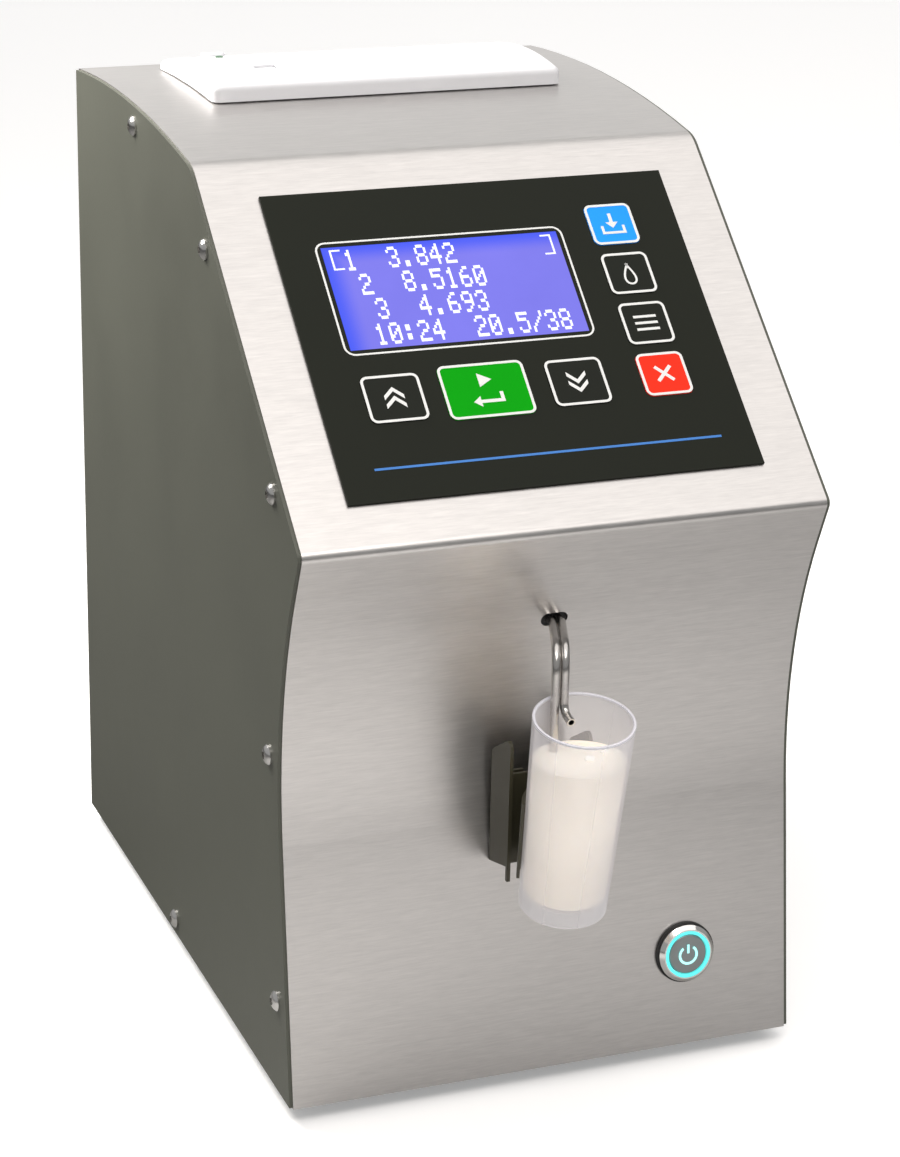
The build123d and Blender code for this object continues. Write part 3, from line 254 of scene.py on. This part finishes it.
def shade(name, colour, roughness, metallic=0.0, variety=0.12, blotch=35.0, bumps=1800.0, bump=0.12,
          shine=0.5, glow=0.0):
    """A plain finish: a tone that wanders a little, uneven gloss and fine bumps, and a glow where one is
    given: the light of lit parts, and painted light on the keys.
    """
    material, tree, shader = start_material(name)
    tone = place_group(tree, blotches, Scale=blotch, Contrast=1.6).outputs["Tone"]
    dark = [channel * (1 - variety) for channel in colour]
    light = [min(1.0, channel * (1 + 0.5 * variety)) for channel in colour]
    tree.links.new(colours_between(tree, tone, dark, light), shader.inputs["Base Color"])
    tree.links.new(between(tree, tone, roughness * 0.88, roughness * 1.12), shader.inputs["Roughness"])
    shader.inputs["Metallic"].default_value = metallic
    shader.inputs["Specular IOR Level"].default_value = shine
    if glow:
        tree.links.new(colours_between(tree, tone, dark, light), shader.inputs["Emission Color"])
        shader.inputs["Emission Strength"].default_value = glow
    raise_bumps(tree, shader, place_group(tree, grain, Scale=bumps).outputs["Height"], bump, bump_depth)
    return material


def brushed_steel(name, dark, light, roughness, fineness=1.0, bump=0.12):
    """Bare sheet with fine lines across the width, a little uneven where it was handled."""
    material, tree, shader = start_material(name)
    lines = place_group(tree, brushing, Fineness=fineness)
    tone = place_group(tree, blotches, Scale=22.0, Contrast=1.0).outputs["Tone"]
    streaks = combine(tree, "MULTIPLY", lines.outputs["Lines"], 1 - handled_share)
    mixed = combine(tree, "MULTIPLY_ADD", tone, handled_share, streaks)
    sharper = add(tree, "MapRange", From_Min=0.3, From_Max=0.7)
    tree.links.new(mixed, sharper.inputs["Value"])
    share = sharper.outputs["Result"]
    tree.links.new(colours_between(tree, share, dark, light), shader.inputs["Base Color"])
    tree.links.new(between(tree, share, roughness * 0.9, roughness * 1.15), shader.inputs["Roughness"])
    shader.inputs["Metallic"].default_value = 1.0
    raise_bumps(tree, shader, lines.outputs["Height"], bump, brushed_depth)
    return material


def display_light(name):
    """A lit blue display, brighter along its top and left edges."""
    material, tree, shader = start_material(name)
    low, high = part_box("display_window")
    place = add(tree, "TexCoord")
    apart = add(tree, "SeparateXYZ")
    tree.links.new(place.outputs["Object"], apart.inputs["Vector"])
    left = add(tree, "MapRange", From_Min=low[0], From_Max=low[0] + lit_left * mm, To_Min=1.0, To_Max=0.0)
    left.interpolation_type = "SMOOTHSTEP"
    tree.links.new(apart.outputs["X"], left.inputs["Value"])
    top = add(tree, "MapRange", From_Min=high[2] - lit_top * mm, From_Max=high[2], To_Min=0.0, To_Max=1.0)
    top.interpolation_type = "SMOOTHSTEP"
    tree.links.new(apart.outputs["Z"], top.inputs["Value"])
    edge = combine(tree, "MAXIMUM", left.outputs["Result"], top.outputs["Result"])
    tone = place_group(tree, blotches, Scale=28.0, Contrast=1.5).outputs["Tone"]
    field = colours_between(tree, tone, (0.19, 0.18, 0.86), (0.23, 0.215, 0.97))
    glow = colours_between(tree, edge, field, (0.04, 0.09, 1.0))
    tree.links.new(glow, shader.inputs["Emission Color"])
    shader.inputs["Emission Strength"].default_value = display_glow
    unlit = colours_between(tree, tone, (0.015, 0.015, 0.05), (0.02, 0.02, 0.06))
    tree.links.new(unlit, shader.inputs["Base Color"])
    shader.inputs["Specular IOR Level"].default_value = 0.25
    shader.inputs["Roughness"].default_value = 0.25
    return material


def clear_plastic(name, colour, roughness, veil, edge_veil, bump, glow=0.0):
    """Frosted or clear plastic, more opaque where it is seen from the side; its glow, where given, is painted
    light.
    """
    material, tree, shader = start_material(name)
    tone = place_group(tree, blotches, Scale=60.0, Contrast=1.5).outputs["Tone"]
    dark = [channel * 0.95 for channel in colour]
    tree.links.new(colours_between(tree, tone, dark, colour), shader.inputs["Base Color"])
    tree.links.new(between(tree, tone, roughness * 0.85, roughness * 1.15), shader.inputs["Roughness"])
    facing = add(tree, "LayerWeight", Blend=0.32)
    tree.links.new(between(tree, facing.outputs["Facing"], veil, edge_veil), shader.inputs["Alpha"])
    shader.inputs["Emission Color"].default_value = (*colour, 1.0)
    shader.inputs["Emission Strength"].default_value = glow
    raise_bumps(tree, shader, place_group(tree, grain, Scale=700.0).outputs["Height"], bump, bump_depth)
    return material


def cream(name, colour):
    """Milk: a soft, slightly see-through white, lifted by a warm painted glow that stands in for light from
    the front.
    """
    material, tree, shader = start_material(name)
    tone = place_group(tree, blotches, Scale=50.0, Contrast=1.0).outputs["Tone"]
    dark = [channel * 0.96 for channel in colour]
    tree.links.new(colours_between(tree, tone, dark, colour), shader.inputs["Base Color"])
    shader.inputs["Roughness"].default_value = 0.22
    shader.inputs["Subsurface Weight"].default_value = 0.3
    shader.inputs["Subsurface Radius"].default_value = (0.004, 0.003, 0.002)
    shader.inputs["Subsurface Scale"].default_value = 1.0
    # Painted light: a warm glow brightens the milk and the foam.
    shader.inputs["Emission Color"].default_value = (1.0, 0.87, 0.68, 1.0)
    shader.inputs["Emission Strength"].default_value = milk_painted_glow
    return material


looks = {
    "cover_steel": brushed_steel("cover_steel", (0.54, 0.525, 0.515), (0.67, 0.65, 0.635), 0.34),
    "painted_sheet": shade("painted_sheet", (0.105, 0.11, 0.09), 0.52, variety=0.10, blotch=24.0,
                           bumps=1400.0, bump=0.25, shine=0.3),
    "dark_sheet": shade("dark_sheet", (0.05, 0.046, 0.026), 0.42, variety=0.25, bumps=1400.0, bump=0.2),
    "screw_steel": shade("screw_steel", (0.75, 0.74, 0.72), 0.2, metallic=1.0, blotch=400.0),
    "black_rubber": shade("black_rubber", (0.02, 0.02, 0.02), 0.62, bumps=1200.0, bump=0.3),
    "overlay_film": shade("overlay_film", (0.010, 0.012, 0.007), 0.46, variety=0.14, blotch=30.0,
                          bumps=2400.0, bump=0.08, shine=0.12),
    "display_screen": display_light("display_screen"),
    "display_glass": shade("display_glass", (0.10, 0.11, 0.30), 0.1),
    "dark_metal": shade("dark_metal", (0.30, 0.30, 0.31), 0.35, metallic=1.0),
    "circuit_board": shade("circuit_board", (0.02, 0.16, 0.05), 0.4, bumps=900.0),
    "chip_black": shade("chip_black", (0.02, 0.02, 0.022), 0.5),
    "plated_metal": shade("plated_metal", (0.62, 0.60, 0.55), 0.32, metallic=1.0),
    "black_plastic": shade("black_plastic", (0.02, 0.02, 0.02), 0.45),
    # The coloured keys' glow is painted light that brightens their colour.
    "key_blue": shade("key_blue", (0.02, 0.32, 0.96), 0.46, variety=0.08, shine=0.06, glow=0.12),
    "key_green": shade("key_green", (0.001, 0.33, 0.003), 0.46, variety=0.08, shine=0.05, glow=0.12),
    "key_red": shade("key_red", (0.95, 0.03, 0.012), 0.46, variety=0.08, shine=0.06, glow=0.22),
    "key_dark": shade("key_dark", (0.010, 0.012, 0.008), 0.46, variety=0.12, shine=0.12),
    "chrome_metal": shade("chrome_metal", (0.80, 0.79, 0.77), 0.12, metallic=1.0, blotch=120.0, bump=0.03),
    "light_ring": shade("light_ring", (0.10, 0.72, 0.70), 0.3, glow=0.9),
    "cap_grey": shade("cap_grey", (0.30, 0.33, 0.33), 0.34, metallic=0.85, blotch=200.0),
    "tube_steel": shade("tube_steel", (0.58, 0.56, 0.54), 0.22, metallic=1.0, variety=0.2, blotch=160.0),
    # The cup's small glow is painted light that brightens the frosted plastic.
    "cup_plastic": clear_plastic("cup_plastic", (0.90, 0.88, 0.92), 0.3, 0.2, 0.6, 0.02, glow=0.08),
    "printer_white": shade("printer_white", (0.79, 0.795, 0.82), 0.42, variety=0.03, bumps=1500.0,
                           bump=0.10),
    "led_green": shade("led_green", (0.008, 0.10, 0.025), 0.25),
    "paper_white": shade("paper_white", (0.86, 0.86, 0.84), 0.75, variety=0.04),
    "cell_metal": shade("cell_metal", (0.60, 0.61, 0.62), 0.38, metallic=1.0),
    "pump_plastic": shade("pump_plastic", (0.16, 0.17, 0.19), 0.42),
    "clear_hose": clear_plastic("clear_hose", (0.80, 0.78, 0.72), 0.3, 0.35, 0.7, 0.05),
}
white_ink = shade("white_ink", (0.82, 0.83, 0.82), 0.45, variety=0.06, blotch=300.0)
blue_ink = shade("blue_ink", (0.03, 0.20, 0.62), 0.45, variety=0.10, blotch=200.0)
display_ink = shade("display_ink", (0.60, 0.62, 0.95), 0.5, variety=0.05, blotch=200.0, glow=0.75)
mark_light = shade("mark_light", (0.45, 0.92, 0.90), 0.3, glow=0.85)
whole_milk = cream("whole_milk", (0.93, 0.885, 0.80))
foam_white = cream("foam_white", (0.95, 0.94, 0.91))
rim_frost = shade("rim_frost", (0.80, 0.80, 0.86), 0.3, variety=0.05)

for subpart in frame["record"]["subparts"]:
    shown = nodes[subpart["node"]]
    for material_slot in shown.material_slots:
        material_slot.material = looks[subpart["material_slot"]]


# Places on the object
def face_of(name, out, up):
    """The outermost face of a node in a direction: the place of its middle, and its size."""
    across = up.cross(out).normalized()
    corners = [nodes[name].matrix_world @ corner.co for corner in nodes[name].data.vertices]
    spans = []
    for direction in (across, up, out):
        reach = [corner.dot(direction) for corner in corners]
        spans.append((min(reach), max(reach)))
    middle = across * sum(spans[0]) / 2 + up * sum(spans[1]) / 2 + out * spans[2][1]
    place = Matrix((across, up, out)).transposed().to_4x4()
    place.translation = middle
    return place, spans[0][1] - spans[0][0], spans[1][1] - spans[1][0]


def panel_directions():
    """Out of the sloped panel, and up along it, from where two keys of its column lie."""
    upper = sum((Vector(corner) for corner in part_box("key_save")), Vector()) / 2
    lower = sum((Vector(corner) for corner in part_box("key_exit")), Vector()) / 2
    up = (upper - lower).normalized()
    return Vector((1, 0, 0)).cross(up).normalized(), up


panel_out, panel_up = panel_directions()


def put(shape, name, material, body, smooth=False, place=None):
    """The finished shape becomes a piece that rides on a body."""
    if place:
        bmesh.ops.transform(shape, matrix=place, verts=shape.verts)
    bmesh.ops.recalc_face_normals(shape, faces=shape.faces)
    mesh = bpy.data.meshes.new(name)
    shape.to_mesh(mesh)
    shape.free()
    piece = bpy.data.objects.new(name, mesh)
    bpy.context.scene.collection.objects.link(piece)
    mesh.materials.append(material)
    for face in mesh.polygons:
        face.use_smooth = smooth
    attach(piece, body)
    return piece


def raise_ink(shape):
    """Flat faces at height 0 become ink that stands proud and reaches a little into what it lies on."""
    grown = bmesh.ops.extrude_face_region(shape, geom=shape.faces[:])
    tops = [part for part in grown["geom"] if isinstance(part, bmesh.types.BMVert)]
    bmesh.ops.translate(shape, verts=tops, vec=(0, 0, (ink_height + ink_sink) * mm))
    bmesh.ops.translate(shape, verts=shape.verts, vec=(0, 0, -ink_sink * mm))


def flat_outline(shape, points):
    """A flat face through points given in millimetres."""
    return shape.faces.new([shape.verts.new((x * mm, y * mm, 0)) for x, y in points])


def round_frame(shape, across, down, corner, line, middle=(0, 0)):
    """A flat frame with round corners, so wide and so high outside."""
    x, y = middle
    corners = ((-1, -1), (1, -1), (1, 1), (-1, 1))
    face = flat_outline(shape, [(x + a * across / 2, y + b * down / 2) for a, b in corners])
    bmesh.ops.bevel(shape, geom=face.verts[:], affect="VERTICES", offset=corner * mm,
                    segments=corner_segments, profile=0.5, material=-1)
    face = max(shape.faces, key=lambda each: each.calc_area())
    shape.normal_update()
    bmesh.ops.inset_individual(shape, faces=[face], thickness=line * mm, use_even_offset=True)
    bmesh.ops.delete(shape, geom=[face], context="FACES_ONLY")


# Marks on the keys
def chevron(shape, middle, width=5.6, rise=2.6, stroke=1.35, down=False):
    """A bent bar that points up or down."""
    turn = -1 if down else 1
    x, y = middle
    half = width / 2
    points = [(-half, 0), (0, rise), (half, 0), (half, -stroke), (0, rise - stroke), (-half, -stroke)]
    flat_outline(shape, [(x + a, y + turn * b) for a, b in points])


def double_chevron(shape, down=False):
    """Two bent bars, one over the other."""
    for middle in (-1.9, 0.9):
        chevron(shape, (0, -middle if down else middle), down=down)


def play_and_return(shape):
    """A triangle over a bent return arrow."""
    flat_outline(shape, [(-1.6, 5.4), (-1.6, 1.0), (2.2, 3.2)])
    flat_outline(shape, [(-4.6, -3.6), (-2.4, -1.9), (-2.4, -3.1), (3.4, -3.1), (3.4, -0.9), (4.4, -0.9),
                         (4.4, -4.1), (-2.4, -4.1), (-2.4, -5.3)])


def store_mark(shape):
    """An arrow down into a tray."""
    flat_outline(shape, [(-0.5, 3.6), (0.5, 3.6), (0.5, 0.6), (1.9, 0.6), (0, -1.4), (-1.9, 0.6),
                         (-0.5, 0.6)])
    flat_outline(shape, [(-3.6, -0.6), (-2.8, -0.6), (-2.8, -2.6), (2.8, -2.6), (2.8, -0.6), (3.6, -0.6),
                         (3.6, -3.4), (-3.6, -3.4)])


def rinse_mark(shape):
    """The outline of a drop."""
    steps = 24
    points = []
    for step in range(steps):
        angle = 2 * pi * step / steps
        narrow = sin(angle / 2) ** 1.4
        points.append((2.7 * sin(angle) * narrow * -1, 3.7 * cos(angle) - 0.3))
    face = flat_outline(shape, points)
    shape.normal_update()
    bmesh.ops.inset_individual(shape, faces=[face], thickness=0.6 * mm, use_even_offset=True)
    bmesh.ops.delete(shape, geom=[face], context="FACES_ONLY")


def list_mark(shape):
    """Three bars."""
    for y in (2.1, 0.0, -2.1):
        flat_outline(shape, [(-3.4, y - 0.4), (3.4, y - 0.4), (3.4, y + 0.4), (-3.4, y + 0.4)])


def leave_mark(shape):
    """A cross."""
    reach, half = 3.3, 0.5
    arm = [(half, half), (reach, half), (reach, -half), (half, -half)]
    points = []
    for turn in range(4):
        angle = radians(45 - 90 * turn)
        for x, y in arm[:3]:
            points.append((x * cos(angle) - y * sin(angle), x * sin(angle) + y * cos(angle)))
    flat_outline(shape, points)


key_marks = {
    "key_save": store_mark,
    "key_clean": rinse_mark,
    "key_menu": list_mark,
    "key_exit": leave_mark,
    "key_up": double_chevron,
    "key_start": play_and_return,
    "key_down": lambda shape: double_chevron(shape, down=True),
}

for key_name, draw in key_marks.items():
    place, across, down = face_of(key_name, panel_out, panel_up)
    across, down = across / mm - 2 * key_flange, down / mm - 2 * key_flange
    marks = bmesh.new()
    round_frame(marks, across, down, key_corner, key_line)
    draw(marks)
    raise_ink(marks)
    put(marks, key_name + "_marks", white_ink, key_name, place=place)


# Marks on the panel
def display_frame():
    """The line round the display."""
    place, across, down = face_of("display_window", panel_out, panel_up)
    shape = bmesh.new()
    round_frame(shape, across / mm + 2 * display_line_gap, down / mm + 2 * display_line_gap, display_corner,
                display_line)
    raise_ink(shape)
    put(shape, "display_outline", white_ink, "housing", place=place)


def panel_stripe():
    """A thin straight line low on the panel."""
    place, across, down = face_of("keypad_overlay", panel_out, panel_up)
    shape = bmesh.new()
    low = -down / mm / 2 + stripe_rise
    high, end = low + stripe_width, stripe_length / 2
    flat_outline(shape, [(-end, low), (end, low), (end, high), (-end, high)])
    raise_ink(shape)
    put(shape, "panel_stripe", blue_ink, "housing", place=place)


glyphs = {
    "0": "01110 10001 10011 10101 11001 10001 01110",
    "1": "00100 01100 00100 00100 00100 00100 01110",
    "2": "01110 10001 00001 00110 01000 10000 11111",
    "3": "01110 10001 00001 00110 00001 10001 01110",
    "4": "00010 00110 01010 10010 11111 00010 00010",
    "5": "11111 10000 11110 00001 00001 10001 01110",
    "6": "00110 01000 10000 11110 10001 10001 01110",
    "7": "11111 00001 00010 00100 01000 01000 01000",
    "8": "01110 10001 10001 01110 10001 10001 01110",
    "9": "01110 10001 10001 01111 00001 00010 01100",
    ".": "00000 00000 00000 00000 00000 01100 01100",
    ":": "00000 01100 01100 00000 01100 01100 00000",
    "/": "00001 00001 00010 00100 01000 10000 10000",
}


def display_figures():
    """Rows of figures in dots, and a pair of brackets round the first row."""
    place, across, down = face_of("display_window", panel_out, panel_up)
    step = dot_field_share * across / mm / dots_across
    left, top = -step * dots_across / 2, step * dots_down / 2
    shape = bmesh.new()

    def block(column, row, columns, rows):
        x, y = left + column * step, top - row * step
        right, low = x + columns * step, y - rows * step
        flat_outline(shape, [(x, low), (right, low), (right, y), (x, y)])

    for row, (text, indent) in enumerate(display_rows):
        for position, figure in enumerate(text):
            for line, dots in enumerate(glyphs.get(figure, "").split()):
                for dot, lit in enumerate(dots):
                    if lit == "1":
                        column = (position + indent) * glyph_width + dot_width * dot
                        block(column, row * row_dots + first_dot_row + dot_height * line, dot_width,
                              dot_height)
    for edge, arm in ((1, 2), (dots_across - 2, dots_across - 2 - bracket_arm)):
        block(edge, 1, 1, bracket_rows)
        for row in (1, bracket_rows):
            block(arm, row, bracket_arm, 1)
    raise_ink(shape)
    put(shape, "display_figures", display_ink, "housing", place=place)


display_frame()
panel_stripe()
display_figures()


# Power mark
def power_mark():
    """A broken ring with a bar through its gap, lit, on the middle of the button."""
    low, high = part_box("power_button_cap")
    centre = (Vector(low) + Vector(high)) / 2
    seal_low, seal_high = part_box("power_button_seal")
    seal = (Vector(seal_low) + Vector(seal_high)) / 2
    out = (centre - seal).normalized()
    out.x = 0
    out.normalize()
    place = face_of("power_button_cap", out, out.cross(Vector((1, 0, 0))))[0]
    shape = bmesh.new()
    start = radians(mark_gap / 2)
    ends = [shape.verts.new((radius * mm * sin(start), radius * mm * cos(start), 0)) for radius in mark_radii]
    edge = shape.edges.new(ends)
    bmesh.ops.spin(shape, geom=[*ends, edge], cent=(0, 0, 0), axis=(0, 0, -1), angle=radians(360 - mark_gap),
                   steps=32)
    flat_outline(shape, [(-mark_bar, 0.5), (mark_bar, 0.5), (mark_bar, 3.15), (-mark_bar, 3.15)])
    raise_ink(shape)
    put(shape, "power_mark", mark_light, "power_button_cap", place=place)


power_mark()


# Milk in the cup
def cup_matrix():
    """The cup's own place: its axis up, its origin in the middle of its base."""
    low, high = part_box("sample_cup")
    tilt = radians(cup_tilt)
    base = Vector(((low[0] + high[0]) / 2, high[1] - cup_base_radius * mm * cos(tilt),
                   low[2] + cup_base_radius * mm * sin(tilt)))
    place = Matrix.Rotation(tilt, 4, "X")
    place.translation = base
    return place


def inner_radius(rise):
    """The milk's radius at that height in the cup, in millimetres."""
    return cup_base_radius + (cup_rim_radius - cup_base_radius) * rise / cup_height - cup_wall - milk_gap


def milk():
    """Milk in the tilted cup, its surface level, a little higher where it clings to the wall."""
    place = cup_matrix()
    shape = bmesh.new()
    low, high = cup_floor_top + milk_gap, cup_height - 2
    bmesh.ops.create_cone(shape, cap_ends=True, segments=96, radius1=inner_radius(low) * mm,
                          radius2=inner_radius(high) * mm, depth=(high - low) * mm,
                          matrix=Matrix.Translation((0, 0, (high + low) / 2 * mm)))
    bmesh.ops.transform(shape, matrix=place, verts=shape.verts)
    rim = place @ Vector((0, 0, cup_height * mm))
    level = rim.z - milk_below_rim * mm
    cut = bmesh.ops.bisect_plane(shape, geom=shape.verts[:] + shape.edges[:] + shape.faces[:],
                                 plane_co=(0, 0, level), plane_no=(0, 0, 1), clear_outer=True)
    rim_edges = [part for part in cut["geom_cut"] if isinstance(part, bmesh.types.BMEdge)]
    surface = bmesh.ops.contextual_create(shape, geom=rim_edges)["faces"]
    shape.normal_update()
    bmesh.ops.inset_individual(shape, faces=surface, thickness=cling_width * mm, use_even_offset=True)
    outer = [vert for vert in shape.verts if vert.co.z > level - 0.01 * mm]
    inner = {vert for face in surface for vert in face.verts}
    for vert in outer:
        if vert not in inner:
            vert.co.z += cling_rise * mm
    piece = put(shape, "milk", whole_milk, "sample_cup")
    for face in piece.data.polygons:
        face.use_smooth = abs(face.normal.z) < 0.95
    return rim, level


def foam(level, rim):
    """A few small bubbles that float by the return tube."""
    for number, (x, y, size) in enumerate(bubbles, start=1):
        shape = bmesh.new()
        bmesh.ops.create_uvsphere(shape, u_segments=24, v_segments=14, radius=size * mm)
        bmesh.ops.scale(shape, vec=(1.25, 1.0, 0.72), verts=shape.verts)
        put(shape, f"bubble_{number}", foam_white, "sample_cup", smooth=True,
            place=Matrix.Translation((rim.x + x * mm, rim.y + y * mm, level + 0.25 * size * mm)))


def rim_bead():
    """The cup's rounded, whiter rim."""
    shape = bmesh.new()
    radius, bead = (cup_rim_radius - cup_wall / 2) * mm, bead_radius * mm
    angles = [2 * pi * step / bead_sides for step in range(bead_sides)]
    ring = [shape.verts.new((radius + bead * cos(angle), 0, bead * sin(angle))) for angle in angles]
    edges = [shape.edges.new((ring[step - 1], ring[step])) for step in range(bead_sides)]
    bmesh.ops.spin(shape, geom=ring + edges, cent=(0, 0, 0), axis=(0, 0, 1), angle=2 * pi, steps=96,
                   use_merge=True)
    put(shape, "cup_rim", rim_frost, "sample_cup", smooth=True,
        place=cup_matrix() @ Matrix.Translation((0, 0, cup_height * mm - bead)))


rim_bead()
rim_place, milk_level = milk()
foam(milk_level, rim_place)


# Floor, light and camera
def seen_rays(tree):
    """1 for rays from the camera and through clear plastic, 0 for rays that only light."""
    path = add(tree, "LightPath")
    return combine(tree, "MAXIMUM", path.outputs["Is Camera Ray"], path.outputs["Is Transmission Ray"])


def floor():
    """A pale ground, lifted to white where it is looked at; for the rays that only light, a painted pool of
    light before the part, fading to a darker ground further off.
    """
    shape = bmesh.new()
    bmesh.ops.create_grid(shape, x_segments=1, y_segments=1, size=12.0)
    mesh = bpy.data.meshes.new("floor")
    shape.to_mesh(mesh)
    shape.free()
    ground = bpy.data.objects.new("floor", mesh)
    bpy.context.scene.collection.objects.link(ground)
    material, tree, shader = start_material("floor")
    shader.inputs["Roughness"].default_value = 0.9
    shader.inputs["Specular IOR Level"].default_value = 0.0
    looked_at = seen_rays(tree)
    spot = add(tree, "TexCoord")
    away = add(tree, "VectorMath")
    away.operation = "DISTANCE"
    away.inputs[1].default_value = bright_floor
    tree.links.new(spot.outputs["Object"], away.inputs[0])
    # Painted pool of light: the ground's colour for lighting rays falls with distance from bright_floor.
    near, far = painted_pool_reach
    bounce = add(tree, "MapRange", From_Min=near, From_Max=far, To_Min=painted_pool_near, To_Max=painted_pool_far)
    tree.links.new(away.outputs["Value"], bounce.inputs["Value"])
    seen = combine(tree, "MULTIPLY", looked_at, floor_seen)
    pale = combine(tree, "MAXIMUM", bounce.outputs["Result"], seen)
    tree.links.new(pale, shader.inputs["Base Color"])
    shader.inputs["Emission Color"].default_value = (1.0, 1.0, 1.0, 1.0)
    tree.links.new(combine(tree, "MULTIPLY", looked_at, floor_lift), shader.inputs["Emission Strength"])
    mesh.materials.append(material)


def room():
    """A plain pale room: white where it is looked at, dimmer where it lights."""
    world = bpy.data.worlds.new("room")
    bpy.context.scene.world = world
    world.use_nodes = True
    tree = world.node_tree
    background = tree.nodes["Background"]
    strength = between(tree, seen_rays(tree), room_light, room_seen)
    tree.links.new(strength, background.inputs["Strength"])
    background.inputs["Color"].default_value = (1.0, 1.0, 1.0, 1.0)


def softbox(name, place, target, size, power, colour):
    """A flat lamp that faces its target."""
    light = bpy.data.lights.new(name, "AREA")
    light.shape = "RECTANGLE"
    light.size, light.size_y = size
    light.energy = power
    light.color = colour
    lamp = bpy.data.objects.new(name, light)
    lamp.location = place
    lamp.rotation_euler = (Vector(target) - Vector(place)).to_track_quat("-Z", "Y").to_euler()
    bpy.context.scene.collection.objects.link(lamp)


def camera():
    """The camera that the photograph was fitted with."""
    view = bpy.data.cameras.new("camera")
    view.lens = camera_lens
    view.sensor_width = 36.0
    view.clip_start = 0.01
    lens = bpy.data.objects.new("camera", view)
    turn = Matrix.Rotation(radians(-camera_yaw), 4, "Z") @ Matrix.Rotation(radians(90 - camera_pitch), 4, "X")
    turn = turn @ Matrix.Rotation(radians(camera_roll), 4, "Z")
    lens.matrix_world = Matrix.Translation(camera_place) @ turn
    bpy.context.scene.collection.objects.link(lens)
    bpy.context.scene.camera = lens


floor()
room()
for lamp in lamps:
    softbox(*lamp)
camera()
bpy.context.scene.view_settings.view_transform = "Standard"
